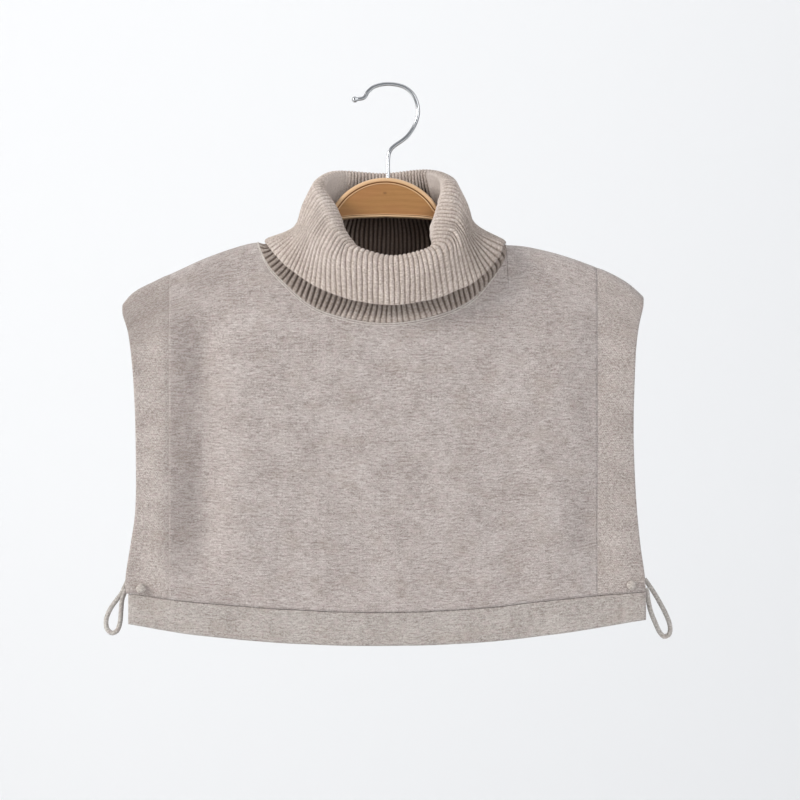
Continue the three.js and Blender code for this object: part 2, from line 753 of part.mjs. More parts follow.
function asManifold(geometry) {
  const bare = geometry.clone();
  bare.deleteAttribute("normal");
  bare.deleteAttribute("uv");
  const merged = mergeVertices(bare, 1e-4);
  return new wasm.Manifold(new wasm.Mesh({
    numProp: 3,
    vertProperties: new Float32Array(merged.attributes.position.array),
    triVerts: new Uint32Array(merged.index.array),
  }));
}

function asGeometry(solid) {
  const mesh = solid.getMesh();
  const geometry = new THREE.BufferGeometry();
  geometry.setAttribute("position", new THREE.BufferAttribute(new Float32Array(mesh.vertProperties), 3));
  geometry.setIndex(new THREE.BufferAttribute(new Uint32Array(mesh.triVerts), 1));
  return geometry;
}

function hangerGeometry() {
  const core = HANGER_THICK - 2 * HANGER_ROUND;
  const body = asManifold(pushedAlongY(hangerOutline(0, 0), -core / 2, core, {
    bevelEnabled: true,
    bevelThickness: HANGER_ROUND,
    bevelSize: HANGER_ROUND,
    bevelOffset: -HANGER_ROUND,
    bevelSegments: 1,
  }));
  const recess = hangerOutline(BORDER_WIDTH, LIP_WIDTH);
  const half = HANGER_THICK / 2;
  const front = asManifold(pushedAlongY(recess, -half - RECESS, 2 * RECESS));
  const back = asManifold(pushedAlongY(recess, half - RECESS, 2 * RECESS));
  const bore = new THREE.CylinderGeometry(WIRE / 2 + GAP, WIRE / 2 + GAP, BORE_LENGTH, 12);
  bore.rotateX(Math.PI / 2);
  bore.translate(HOOK_X, 0, STEM_BOTTOM - GAP + BORE_LENGTH / 2);
  return asGeometry(body.subtract(front).subtract(back).subtract(asManifold(bore)));
}

// A tube along a route: a round section pushed along a smooth curve
function tubeGeometry(route, diameter, sides, count) {
  const curve = new THREE.CatmullRomCurve3(route, false, "centripetal");
  const section = new THREE.Shape();
  for (let side = 0; side < sides; side += 1) {
    const angle = (side + 0.5) * 2 * Math.PI / sides;
    const x = Math.cos(angle) * diameter / 2;
    const y = Math.sin(angle) * diameter / 2;
    if (side === 0) section.moveTo(x, y);
    else section.lineTo(x, y);
  }
  section.closePath();
  return new THREE.ExtrudeGeometry(section, { steps: count, bevelEnabled: false, extrudePath: curve });
}

function hookGeometry() {
  const route = HOOK_LINE.map(({ x, z }) => new THREE.Vector3(x, 0, z));
  const wire = asManifold(tubeGeometry(route, WIRE, TUBE_SIDES, HOOK_STEPS));
  const ball = new THREE.SphereGeometry(TIP_BALL / 2, 10, 6);
  const end = HOOK_LINE[HOOK_LINE.length - 1];
  ball.translate(end.x - TIP_BALL / 2 + BALL_SEAT, 0, end.z);
  return asGeometry(wire.add(asManifold(ball)));
}

function loopGeometry(points) {
  const route = points.map(({ x, y, z }) => new THREE.Vector3(x, y, z));
  return tubeGeometry(route, CORD, TUBE_SIDES, CORD_STEPS);
}

// A small domed button, sewn flat to the front side band
const BUTTON_PROFILE = [
  { out: 0, up: 0 },
  { out: 0.72, up: 0 },
  { out: 1, up: 0.3 },
  { out: 0.93, up: 0.62 },
  { out: 0.62, up: 0.9 },
  { out: 0, up: 1 },
];

function buttonGeometry(x, z) {
  const profile = BUTTON_PROFILE.map(({ out, up }) => (
    new THREE.Vector2(out * BUTTON_WIDTH / 2, up * BUTTON_HEIGHT)
  ));
  const geometry = new THREE.LatheGeometry(profile, 12);
  geometry.scale(1, -1, 1);
  const reach = BUTTON_WIDTH / 2;
  const faces = [-reach, 0, reach].map((away) => {
    const over = overAt(x + away, z);
    return clothPoint(-1, x + away, over).y;
  });
  const seat = Math.min(...faces) - BAND_PROUD - GAP;
  geometry.translate(x, seat, z);
  return turnedOutward(geometry);
}

// The same body with its faces turned outward
function turnedOutward(geometry) {
  const bare = geometry.clone();
  bare.deleteAttribute("normal");
  bare.deleteAttribute("uv");
  const merged = mergeVertices(bare, 1e-4);
  const place = merged.attributes.position;
  const points = Array.from({ length: place.count }, (_, index) => (
    new THREE.Vector3().fromBufferAttribute(place, index)
  ));
  const index = merged.index.array;
  const triangles = [];
  for (let start = 0; start < index.length; start += 3) {
    const corners = [index[start], index[start + 1], index[start + 2]];
    if (new Set(corners).size === 3) triangles.push(corners);
  }
  return closedGeometry(points, triangles);
}

// Finishes
const finish = (color, roughness, metalness = 0) => new THREE.MeshStandardMaterial({
  color, roughness, metalness, flatShading: true,
});
const KNIT = "#bab3ad";
const BAND_KNIT = "#b3a9a1";
const RIB_KNIT = "#bfb3a8";
const CORD_KNIT = "#cfccc6";
const WOOD = "#b98a58";
const STEEL = "#c9cbcd";

const group = new THREE.Group();

function add(name, geometry, material) {
  const mesh = new THREE.Mesh(geometry, material);
  mesh.name = name;
  group.add(mesh);
  return mesh;
}

add("front_panel", panelGeometry(-1), finish(KNIT, 0.95));
add("back_panel", panelGeometry(1), finish(KNIT, 0.95));
add("left_side_band", bandGeometry(LEFT_EDGE, LEFT_BAND_INNER, SHOULDER[0]), finish(BAND_KNIT, 0.95));
add(
  "right_side_band",
  bandGeometry(RIGHT_EDGE, RIGHT_BAND_INNER, SHOULDER[SHOULDER.length - 1]),
  finish(BAND_KNIT, 0.95),
);
add("front_hem_band", hemGeometry(-1), finish(KNIT, 0.95));
add("back_hem_band", hemGeometry(1), finish(KNIT, 0.95));
add("collar", collarGeometry(), finish(RIB_KNIT, 0.95));
add("left_button", buttonGeometry(-198.5, -403.8), finish(CORD_KNIT, 0.9));
add("right_button", buttonGeometry(193.8, -401.2), finish(CORD_KNIT, 0.9));
add("left_loop", loopGeometry(LEFT_LOOP), finish(CORD_KNIT, 0.9));
add("right_loop", loopGeometry(RIGHT_LOOP), finish(CORD_KNIT, 0.9));
add("hanger_body", hangerGeometry(), finish(WOOD, 0.45));
add("hanger_hook", hookGeometry(), finish(STEEL, 0.2, 1));

export default group;
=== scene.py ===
# %% [markdown]
# # A knitted neck warmer on a wooden hanger
#
# The garment is a small shoulder warmer: a front and a back panel in fine heathered knit, a ribbed
# roll neck folded down on itself, grainy side bands, a doubled hem, and a knitted cord loop with a
# covered button at each lower side. It hangs on a wooden hanger with a steel hook.
#
# The solid model gives the sizes. Here every piece is made again with its folds, ribs and stitches,
# in the same frame: +Z up, the front facing -Y, and the origin at the inner top of the hook. The
# tables are in millimetres, and a mesh is turned into metres when it is made.

# %% Load the frame
import math

import bmesh
import bpy
import numpy as np
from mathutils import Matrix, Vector


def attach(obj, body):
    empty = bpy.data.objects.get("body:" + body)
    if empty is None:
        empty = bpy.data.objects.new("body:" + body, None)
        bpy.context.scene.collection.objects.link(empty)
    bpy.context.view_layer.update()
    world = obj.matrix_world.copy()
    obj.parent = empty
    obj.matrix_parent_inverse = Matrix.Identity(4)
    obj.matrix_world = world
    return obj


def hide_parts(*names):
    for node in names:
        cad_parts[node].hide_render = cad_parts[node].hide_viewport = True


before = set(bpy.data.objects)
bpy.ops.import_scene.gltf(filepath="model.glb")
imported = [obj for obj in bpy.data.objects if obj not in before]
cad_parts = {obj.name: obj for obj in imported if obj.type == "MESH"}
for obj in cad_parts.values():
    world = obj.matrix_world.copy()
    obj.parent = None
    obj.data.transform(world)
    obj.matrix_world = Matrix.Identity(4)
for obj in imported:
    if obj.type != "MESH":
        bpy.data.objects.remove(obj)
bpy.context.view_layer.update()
BODY = "root"
MM = 0.001

# %% [markdown]
# ## Camera
#
# The picture was taken straight on from about a metre and a half, with a lens long enough to keep
# the sides from spreading. A level camera with no shift shows the hook's top and the hem's lower
# edge at the right heights, so nothing needs to be tilted afterwards.

# %% Camera
CAMERA_PLACE = (0.0088, -1.523, -0.2532)
camera_data = bpy.data.cameras.new("view")
camera_data.lens = 85
camera_data.sensor_width = 36
camera_data.clip_end = 60
camera = bpy.data.objects.new("view", camera_data)
camera.location = CAMERA_PLACE
camera.rotation_euler = (math.radians(90), 0, 0)
bpy.context.scene.collection.objects.link(camera)
bpy.context.scene.camera = camera
print("camera at", CAMERA_PLACE, "with a lens of", camera_data.lens, "mm")

# %% [markdown]
# ## Shader maths as expressions
#
# A knit's height is easiest to write as a formula: two slanting legs of yarn in each column, one
# above the other. Placing Math nodes by hand hides that formula, so a small class wraps a socket
# and turns Python's operators into Math nodes. Every other node comes from one method, which sets
# the node's own settings first and then its sockets.

# %% Sockets that can be added and multiplied
def linear(code):
    """Linear colour of a web colour code."""
    parts = [int(code[at:at + 2], 16) / 255 for at in (1, 3, 5)]
    low = [part / 12.92 for part in parts]
    high = [((part + 0.055) / 1.055) ** 2.4 for part in parts]
    return tuple(a if part <= 0.04045 else b for part, a, b in zip(parts, low, high)) + (1,)


def operator(operation, swapped=False):
    """A method that puts a signal, and another value if one is given, through a Math node."""
    def method(self, *other):
        values = (*other, self) if swapped else (self, *other)
        return self.finish.node("ShaderNodeMath", {"operation": operation}, dict(enumerate(values)))
    return method


class Signal:
    """A socket of a finish, which Python's operators combine through Math nodes."""

    def __init__(self, finish, socket):
        self.finish = finish
        self.socket = socket

    __add__ = __radd__ = operator("ADD")
    __mul__ = __rmul__ = operator("MULTIPLY")
    __sub__, __rsub__ = operator("SUBTRACT"), operator("SUBTRACT", swapped=True)
    __truediv__, __pow__ = operator("DIVIDE"), operator("POWER")
    fraction, whole, size = operator("FRACT"), operator("FLOOR"), operator("ABSOLUTE")
    sine, at_least = operator("SINE"), operator("MAXIMUM")


class Finish:
    """A material that is written as expressions."""

    def __init__(self, name):
        self.material = bpy.data.materials.new(name)
        self.material.use_nodes = True
        self.tree = self.material.node_tree
        self.shader = self.tree.nodes["Principled BSDF"]

    def node(self, kind, settings=None, values=None, output=0):
        """Makes a node, sets its settings, then its sockets, and gives one of its outputs."""
        made = self.tree.nodes.new(kind)
        for key, value in (settings or {}).items():
            if key == "stops":
                ramp = made.color_ramp
                for _ in value[2:]:
                    ramp.elements.new(0.5)
                for element, (place, colour) in zip(ramp.elements, value):
                    element.position = place
                    element.color = colour
            else:
                setattr(made, key, value)
        for key, value in (values or {}).items():
            if isinstance(value, Signal):
                self.tree.links.new(value.socket, made.inputs[key])
            else:
                made.inputs[key].default_value = value
        return Signal(self, made.outputs[output])

    def mix(self, factor, first, second, blend="MIX"):
        """Blends two colours through one Mix node."""
        settings = {"data_type": "RGBA", "blend_type": blend}
        return self.node("ShaderNodeMix", settings, {0: factor, 6: first, 7: second}, output=2)

    def tinted(self, colour, code):
        """A colour multiplied by a web colour code, which darkens it."""
        return self.mix(1.0, colour, linear(code), blend="MULTIPLY")

    def place(self):
        """Across and along the knit, in millimetres, from the mesh's own map."""
        at = self.node("ShaderNodeUVMap", {"uv_map": "knit"})
        split = self.node("ShaderNodeSeparateXYZ", values={0: at})
        return split, Signal(self, split.socket.node.outputs[1])

    def hollow(self):
        """The mesh's own value of painted shade and painted light, and on the wood its stain."""
        return self.node("ShaderNodeAttribute", {"attribute_name": "hollow"}, output=2)

    def noise(self, across, along, height=0.0, detail=2.0, rough=0.5):
        """Soft noise over a place that may be stretched."""
        at = self.node("ShaderNodeCombineXYZ", values={0: across, 1: along, 2: height})
        values = {"Vector": at, "Scale": 1.0, "Detail": detail, "Roughness": rough}
        return self.node("ShaderNodeTexNoise", {"noise_dimensions": "3D"}, values)

    def blur_step(self, value, low, high):
        """0 below low, 1 above high and smooth between them."""
        settings = {"interpolation_type": "SMOOTHSTEP"}
        values = {0: value, 1: low, 2: high, 3: 0.0, 4: 1.0}
        return self.node("ShaderNodeMapRange", settings, values)

    def set(self, **values):
        """Sets the shader's sockets, by name with underscores for spaces."""
        for key, value in values.items():
            socket = self.shader.inputs[key.replace("_", " ")]
            if isinstance(value, Signal):
                self.tree.links.new(value.socket, socket)
            else:
                socket.default_value = value
        return self

    def raise_by(self, height, depth):
        """Feeds a height to the shader's normal, depth in millimetres."""
        bump = self.node("ShaderNodeBump", values={"Strength": 1.0, "Distance": depth * MM,
                                                   "Height": height})
        return self.set(Normal=bump)


print("white is", linear("#ffffff"))

# %% [markdown]
# ## Tables and smooth lines
#
# Every outline of the garment is a short table of places. A knitted edge never turns sharply, so a
# value between two rows comes from a cubic curve whose slope at each row follows its neighbours.
# The work is done for whole arrays at once, because a panel has some thirty thousand places.

# %% Reading a table smoothly
def cubic(t, first, last, leaving, arriving):
    """A smooth curve from first to last, which leaves and arrives with the slopes given."""
    start = (2 * t**3 - 3 * t**2 + 1) * first + (t**3 - 2 * t**2 + t) * leaving
    return start + (3 * t**2 - 2 * t**3) * last + (t**3 - t**2) * arriving


def read(table, at, column=1):
    """Smooth value of a table's column at the places given, by its first column."""
    rows = np.array(table, dtype=float)
    known, value = rows[:, 0], rows[:, column]
    before = np.maximum(np.arange(len(rows)) - 1, 0)
    after = np.minimum(np.arange(len(rows)) + 1, len(rows) - 1)
    slope = (value[after] - value[before]) / (known[after] - known[before])
    low = np.clip(np.searchsorted(known, at, side="right") - 1, 0, len(rows) - 2)
    span = known[low + 1] - known[low]
    t = np.clip((at - known[low]) / span, 0, 1)
    return cubic(t, value[low], value[low + 1], span * slope[low], span * slope[low + 1])


def mixed(first, second, share):
    return first + (second - first) * share


def smooth_step(value, low, high):
    t = np.clip((value - low) / (high - low), 0, 1)
    return t * t * (3 - 2 * t)


def between(value, start, full, fade, end):
    """Rises from 0 to 1 on the way from start to full, and falls again from fade to end."""
    return smooth_step(value, start, full) * (1 - smooth_step(value, fade, end))


def closeness(value, middle, reach):
    """1 at the middle, less and less away from it."""
    return np.exp(-((value - middle) / reach) ** 2)


# The garment's fold line over the shoulders: x, z
SHOULDER = [
    (-215.4, -177.5), (-206, -167), (-188.7, -157.7), (-166, -147), (-150, -139.7), (-126, -131),
    (-106, -126.3), (-5, -126), (94, -128.4), (110, -129.6), (138.5, -136.3), (171.8, -148.4),
    (191.8, -159), (205.6, -171.1),
]
print("shoulder height over the left arm:", float(read(SHOULDER, np.array([-150.0]))[0]))

# %% [markdown]
# ## How the cloth hangs
#
# The garment is laid over the hanger like a blanket over a rail. It could be simulated, but a
# simulation would move its outline away from the one that the picture shows. So the cloth is a
# formula: a quarter roll over the hanger, a fall that swells away from it, and soft vertical folds.
# A place on it is given by x and by the way over the roll and down.

# %% A place on the cloth
SHOULDER_RADIUS = 9.5
QUARTER = SHOULDER_RADIUS * math.pi / 2
FRONT_SWELL, BACK_SWELL = 16, 5
SWELL_REACH = 70
HEM_SWELL = 0.5
CLOTH_MIDDLE, CLOTH_HALF_WIDTH, CLOTH_HEIGHT = -5, 212, 300
FOLD_FADE = 25
# Soft vertical folds of the front: x, reach, rise, top, foot
FRONT_FOLDS = [
    (-180, 11, 2, -185, -400), (-147, 16, -7.5, -190, -385), (-113, 19, 1.5, -230, -400),
    (130, 18, 1.8, -230, -400), (168, 14, -3, -180, -420),
]
# Slow waves that keep the cloth from looking pressed: x wave, z wave, start, rise
WAVES = [(61, 210, 0.4, 0.35), (37, 95, 2.1, 0.22), (-83, 130, 4.0, 0.3), (23, -71, 1.2, 0.12)]
# How far below the origin the waves begin, and where they are full
WAVES_BEGIN, WAVES_FULL = 150, 230


def fold_heights(z, top, foot):
    """1 at the heights of a fold, and softly less past its top and foot."""
    return between(-z, -top - FOLD_FADE, -top + FOLD_FADE, -foot - FOLD_FADE, -foot + FOLD_FADE)


def fold_rise(side, x, z):
    """How far the folds and slow waves lift the cloth."""
    rise = 0 * x
    for wave_x, wave_z, start, height in WAVES:
        rise = rise + height * np.sin(2 * math.pi * (x / wave_x + z / wave_z) + start + side)
    rise = rise * smooth_step(-z, WAVES_BEGIN, WAVES_FULL)
    if side > 0:
        return rise
    for middle, reach, height, top, foot in FRONT_FOLDS:
        rise = rise + height * closeness(x, middle, reach) * fold_heights(z, top, foot)
    return rise


def cloth_point(side, x, over):
    """Outer face of the cloth: side is -1 in front and 1 behind."""
    turn = np.minimum(over, QUARTER) / SHOULDER_RADIUS
    drop = SHOULDER_RADIUS * (1 - np.cos(turn)) + np.maximum(over - QUARTER, 0)
    z = read(SHOULDER, x) - drop
    across = np.maximum(1 - ((x - CLOTH_MIDDLE) / CLOTH_HALF_WIDTH) ** 2, 0)
    amount = FRONT_SWELL if side < 0 else BACK_SWELL
    fading = mixed(1, HEM_SWELL, drop / CLOTH_HEIGHT)
    swell = amount * across * smooth_step(drop, 0, SWELL_REACH) * fading
    depth = SHOULDER_RADIUS * np.sin(turn) + swell + fold_rise(side, x, z)
    return np.stack([x + 0 * over, side * depth, z], axis=-1)


def unit(vectors):
    return vectors / np.maximum(np.linalg.norm(vectors, axis=-1, keepdims=True), 1e-9)


def cloth_normal(side, x, over):
    """Which way the cloth's outer face looks."""
    step = 0.4
    start = np.maximum(over, 0)
    across = cloth_point(side, x + step, start) - cloth_point(side, x - step, start)
    down = cloth_point(side, x, start + step) - cloth_point(side, x, start)
    down = np.where((start < step)[..., None], np.array([0.0, side, 0.0]), down)
    return unit(np.cross(across, down) * side)


def over_at(x, z):
    """Way over the roll and down to a height."""
    drop = read(SHOULDER, x) - z
    on_roll = np.clip(1 - drop / SHOULDER_RADIUS, -1, 1)
    turned = SHOULDER_RADIUS * np.arccos(on_roll)
    return np.where(drop >= SHOULDER_RADIUS, QUARTER - SHOULDER_RADIUS + drop, turned)


front_place = cloth_point(-1, np.array([0.0]), np.array([150.0]))[0]
print("front depth at the middle:", float(front_place[1]))

# %% [markdown]
# ## Cloth with a thickness
#
# Knitwear this thick shows its edges. Each piece is a grid of points on its middle face, pushed out
# to both sides by half its thickness and closed round the rim. Near a free edge the thickness falls
# away in a quarter circle, which gives the soft rounded lip of a knitted edge. The grid also writes
# a map in millimetres, so that stitches have their real size whatever the piece's shape.

# %% Making meshes
def make_object(name, points, faces, finish, maps, period=0, hollow=None):
    """One riding piece from points in millimetres. A map value is given for each point, and where
    four-sided faces close a ring, period is the map's length round it. The last argument gives each
    point painted shade and light, and on the wood stain: above 0 it is darker, below 0 paler."""
    mesh = bpy.data.meshes.new(name)
    mesh.from_pydata((np.asarray(points) * MM).tolist(), [], faces)
    mesh.polygons.foreach_set("use_smooth", [True] * len(mesh.polygons))
    corner = np.empty(len(mesh.loops), dtype=np.int32)
    mesh.loops.foreach_get("vertex_index", corner)
    spread = np.asarray(maps, dtype=np.float32)[corner]
    if period:
        quads = spread.reshape(-1, 4, 2)
        behind = quads[..., 0].max(axis=1, keepdims=True) - quads[..., 0] > period / 2
        quads[..., 0] += period * behind
    mesh.uv_layers.new(name="knit").data.foreach_set("uv", spread.ravel())
    if hollow is not None:
        mesh.attributes.new("hollow", "FLOAT", "POINT").data.foreach_set("value", hollow)
    shell = bmesh.new()
    shell.from_mesh(mesh)
    bmesh.ops.recalc_face_normals(shell, faces=shell.faces)
    shell.to_mesh(mesh)
    shell.free()
    mesh.materials.append(finish.material)
    piece = bpy.data.objects.new(name, mesh)
    bpy.context.scene.collection.objects.link(piece)
    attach(piece, BODY)
    triangles = sum(len(face.vertices) - 2 for face in mesh.polygons)
    print(f"{name}: {triangles} triangles")
    return piece


def grid_faces(rows, columns, start=0, ring=False, loop=False):
    """Four-sided faces of a grid. Its columns close round for a ring, its rows too for a loop."""
    row, column = np.meshgrid(np.arange(rows if loop else rows - 1),
                              np.arange(columns if ring else columns - 1), indexing="ij")
    beside, beyond = (column + 1) % columns, (row + 1) % rows
    corners = [row * columns + column, row * columns + beside,
               beyond * columns + beside, beyond * columns + column]
    return (np.stack(corners, axis=-1).reshape(-1, 4) + start).tolist()


def close_rim(rows, columns):
    """Faces between the outer and inner grid along the four edges."""
    last = rows * columns
    top = [(c, c + 1) for c in range(columns - 1)]
    foot = [((rows - 1) * columns + c, (rows - 1) * columns + c + 1) for c in range(columns - 1)]
    left = [(r * columns, (r + 1) * columns) for r in range(rows - 1)]
    right = [((r + 1) * columns - 1, (r + 2) * columns - 1) for r in range(rows - 1)]
    return [(a, b, b + last, a + last) for a, b in top + foot + left + right]


def rounded(way, reach, least=0.12):
    """Share of the full thickness at a way from a free edge."""
    t = np.clip(way / reach, 0, 1)
    return np.maximum(np.sqrt(1 - (1 - t) ** 2), least)


def steps_across(near, far, count, width):
    """Ways from one edge to the other: the near ones, even steps, and the far edge's own ones."""
    even = np.linspace(near[-1], width - far[0], count)
    return np.concatenate([near[:-1], even, width - np.array(far[1:])])


def cloth_piece(name, middle, normal, thick, finish, slot, maps, hollow=None):
    """A sheet of cloth with two faces, from grids of its middle, normal, thickness, map and the
    painted shade that dulls it where little light reaches it. It replaces the solid piece of its
    name."""
    rows, columns = middle.shape[:2]
    half = (thick / 2)[..., None] * normal
    points = np.concatenate([(middle + half).reshape(-1, 3), (middle - half).reshape(-1, 3)])
    faces = grid_faces(rows, columns) + grid_faces(rows, columns, rows * columns)
    faces += close_rim(rows, columns)
    flat_map = np.concatenate([maps.reshape(-1, 2), maps.reshape(-1, 2)])
    if hollow is not None:
        hollow = np.concatenate([hollow.ravel(), hollow.ravel()])
    piece = make_object(name + "_knit", points, faces, finish, flat_map, hollow=hollow)
    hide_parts(name)
    return piece


print("a rounded edge at a tenth of its reach is", float(rounded(np.array([0.1]), 1.0)[0]), "thick")

# %% [markdown]
# ## Heathered yarn
#
# The yarn is spun from fibres in several tones, so a plain knit in it shows short light and dark
# dashes along each row, a fine grain, and broad cloudy patches. The dashes are noise that is
# stretched along the rows, and the patches are slow noise. A few tufts are nearly white, others are
# dark, and some places lean to brown or pink. One function makes this colour for every knitted
# piece, from its own base tones.

# %% Heather colour
# How much of the tone comes from the dashes, the grain and the patches
STREAK, GRAIN, CLOUD = 0.23, 0.65, 0.12
DARK_TONE, MIDDLE_TONE, LIGHT_TONE = 0.415, 0.5, 0.585


def heather(finish, u, v, dark, middle, light, dash=1.0):
    """Colour of melange yarn, with dashes along the rows."""
    uneven = (finish.noise(u * 0.07, v * 0.07, height=23.0, detail=1.0) - 0.5) * 4
    row = v + uneven
    streak = finish.noise(u * (0.16 * dash), row * 0.62, detail=2.0, rough=0.5)
    grain = finish.noise(u * 0.7, row * 0.9, height=7.0, detail=4.0, rough=0.95)
    cloud = finish.noise(u * 0.035, v * 0.05, height=3.0, detail=3.0, rough=0.55)
    tone = streak * STREAK + grain * GRAIN + cloud * CLOUD
    ramp = [(DARK_TONE, linear(dark)), (MIDDLE_TONE, linear(middle)), (LIGHT_TONE, linear(light))]
    colour = finish.node("ShaderNodeValToRGB", {"stops": ramp}, {0: tone})
    brown = finish.blur_step(finish.noise(u * 0.045, v * 0.07, height=11.0, detail=3.0), 0.5, 0.68)
    colour = finish.mix(brown * 0.2, colour, linear("#a5978a"))
    pink = finish.blur_step(finish.noise(u * 0.2, v * 0.25, height=41.0, detail=2.0), 0.45, 0.7)
    colour = finish.mix(pink * 0.25, colour, linear("#c6b2b2"))
    spot = finish.blur_step(finish.noise(u * (0.25 * dash), row * 0.7, height=31.0), 0.62, 0.76)
    colour = finish.mix(spot * 0.5, colour, linear(dark))
    pale = finish.blur_step(finish.noise(u * 0.5, row * 0.9, height=19.0, detail=1.0), 0.68, 0.8)
    return finish.mix(pale * 0.7, colour, linear("#e6dfd8"))


# %% [markdown]
# ## Stitches
#
# In plain knit every stitch is a V: two legs of yarn that lean together, stacked in columns. A
# formula gives the height of the yarn from the place on the cloth. The column's fraction gives a
# bump for each leg, and the row is shifted by the leg's lean, so the bumps slant. The side bands
# are worked the other way out, where the rows of loops make a grainy face of small beads.

# %% Stitch heights
WALE, COURSE = 1.9, 1.45
YARN_SHADE = "#9b9088"


def plain_stitches(u, v, wale=WALE, course=COURSE, lean=0.55):
    """Height from 0 to 1 of V-shaped stitches."""
    aside = ((u / wale).fraction() * 2 - 1).size()
    leg = 1 - (aside * 2 - 1) ** 2
    row = (v / course - aside * lean).fraction() * 2 - 1
    return (leg * (1 - row * row)).at_least(0.0) ** 0.5


def grainy_stitches(u, v, wale=WALE, course=COURSE):
    """Height from 0 to 1 of rows of small beads, each row half a bead aside."""
    row = v / course
    across = ((u / wale + row.whole() * 0.5).fraction() * 2 - 1).size()
    down = (row.fraction() * 2 - 1).size()
    return ((1 - across ** 2) * (1 - down ** 2)).at_least(0.0) ** 0.5


def soft_yarn(finish, u, v, colour, height, depth, sheen):
    """Sets a matt, soft surface with the stitches' height and a little fluff on top."""
    fluff = finish.noise(u * 2.6, v * 2.6, height=2.0, detail=3.0, rough=0.7)
    finish.set(Base_Color=colour, Roughness=fluff * 0.12 + 0.84, Sheen_Weight=sheen,
               Sheen_Roughness=0.5, Specular_IOR_Level=0.2)
    return finish.raise_by(height * 0.8 + fluff * 0.5, depth)


def knit(name, dark, middle, light, stitches=plain_stitches, depth=0.34, shade=0.2, dash=1.0):
    """A knitted finish. Painted shade darkens the gaps between stitches by the share given as
    shade, and whole places by the mesh's value of painted shade.
    """
    finish = Finish(name)
    u, v = finish.place()
    sway = finish.noise(u * 0.3, v * 0.3, height=5.0, detail=1.0) - 0.5
    height = stitches(u + sway * 0.5, v + sway * 0.4)
    colour = heather(finish, u, v, dark, middle, light, dash)
    # Painted shade: first in the gaps between stitches, then where the mesh's value says little
    # light reaches
    gaps = finish.blur_step(height, 0.75, 0.05)
    colour = finish.mix(gaps * shade, colour, finish.tinted(colour, YARN_SHADE))
    colour = finish.mix(finish.hollow(), colour, finish.tinted(colour, YARN_SHADE))
    return soft_yarn(finish, u, v, colour, height, depth, 0.25)


body_knit = knit("body_knit", "#8f837d", "#bab0ab", "#d9d1cd")
band_knit = knit("band_knit", "#8c807a", "#b6aca6", "#d7cfca", stitches=grainy_stitches, dash=2.2,
                 shade=0.35)
hem_knit = knit("hem_knit", "#8f847d", "#b9b1ab", "#d6d0ca", dash=1.3)
print("knits:", body_knit.material.name, band_knit.material.name, hem_knit.material.name)

# %% [markdown]
# ## Front and back panel
#
# Both panels start at the fold over the shoulders, run down the roll and end at the hem's seam. In
# the middle the upper edge dips into the neckline, so a column of the grid starts wherever its
# upper end lies and runs down from there. The columns lie close round the neck, where the edge
# turns most.
#
# Little light reaches the cloth beside the deepest fold and on the front of the left shoulder, so
# both places are dulled by a little painted shade in their colour.

# %% Panels
SEAM_GAP = 0.05
# How much painted shade dulls the deepest fold's shaded side, and the front of the left shoulder
FOLD_SHADE, SHOULDER_SHADE = 0.2, 0.16
# The shaded side's way from the fold, in reaches, and the shoulder's middle and reach
FLANK_WAY, SHADED_SHOULDER = 1.05, (-135, 35)
# Where the painted shade on the shoulder and on the left band's top fades and ends, by the way
# over the roll and down, and how strong the band's painted shade is
SHOULDER_FADE, BAND_FADE, BAND_SHADE = (20, 75), (20, 90), 0.2
# A power that draws the rows together near the roll
PANEL_SPREAD, BAND_SPREAD = 1.15, 1.25
LEFT_BAND_INNER, RIGHT_BAND_INNER = -176, 167
RIB_COUNT, NECK_POINT_RIB = 108, 30
# The neckline: rib from the front middle, x, and the way over the roll, minus behind
NECKLINE = [
    (-54, -5, -22), (-45, -38, -21.6), (-40, -64, -20.4), (-37, -82, -18.3), (-33, -99.5, -12),
    (-30, -105.6, 0), (-26, -99.8, 19), (-22, -88.7, 34), (-15, -62.4, 57.5), (-7, -30.5, 68.6),
    (0, 2.3, 71.2), (7, 34.4, 65.5), (15, 65.1, 51.5), (22, 86.3, 26.5), (26, 92, 13.5),
    (30, 94, 0), (33, 88.5, -12), (37, 71, -18.3), (40, 54, -20.4), (45, 28, -21.6),
]
# The seam above the hem bands: x, z
HEM_SEAM = [
    (-209, -408.5), (-151.6, -415.2), (-64, -421.2), (3.9, -422.6), (72.6, -419.4),
    (136.5, -412.6), (206, -406.6),
]
# Heights of the shoulder line and of the seam in the middle
SHOULDER_LEVEL, SEAM_LEVEL = SHOULDER[7][1], HEM_SEAM[3][1]
PANEL_WALL = 2.4
ROLL_BLEND = 60


def course_map(x, over, side=1):
    """The knit's own map: across, and along the rows, which follow the hem below and level out
    above it."""
    level = (read(SHOULDER, x) - SHOULDER_LEVEL) * smooth_step(over, 0, ROLL_BLEND)
    hem = (read(HEM_SEAM, x) - SEAM_LEVEL) * smooth_step(over, ROLL_BLEND, CLOTH_HEIGHT)
    return np.stack([x + 0 * over, side * (over - level + hem)], axis=-1)


def ring_table(table):
    """A table round the neck, run on past both ends so that they meet smoothly."""
    before = [(row[0] - RIB_COUNT, *row[1:]) for row in table[-2:]]
    after = [(row[0] + RIB_COUNT, *row[1:]) for row in table[:3]]
    return before + table + after


NECK_RING = ring_table(NECKLINE)


def from_front(rib):
    """A rib's number counted from the front middle, minus on the left."""
    return (rib + RIB_COUNT / 2) % RIB_COUNT - RIB_COUNT / 2


def neck_place(rib):
    """x and way over the roll of the neckline at a rib."""
    return read(NECK_RING, from_front(rib)), read(NECK_RING, from_front(rib), 2)


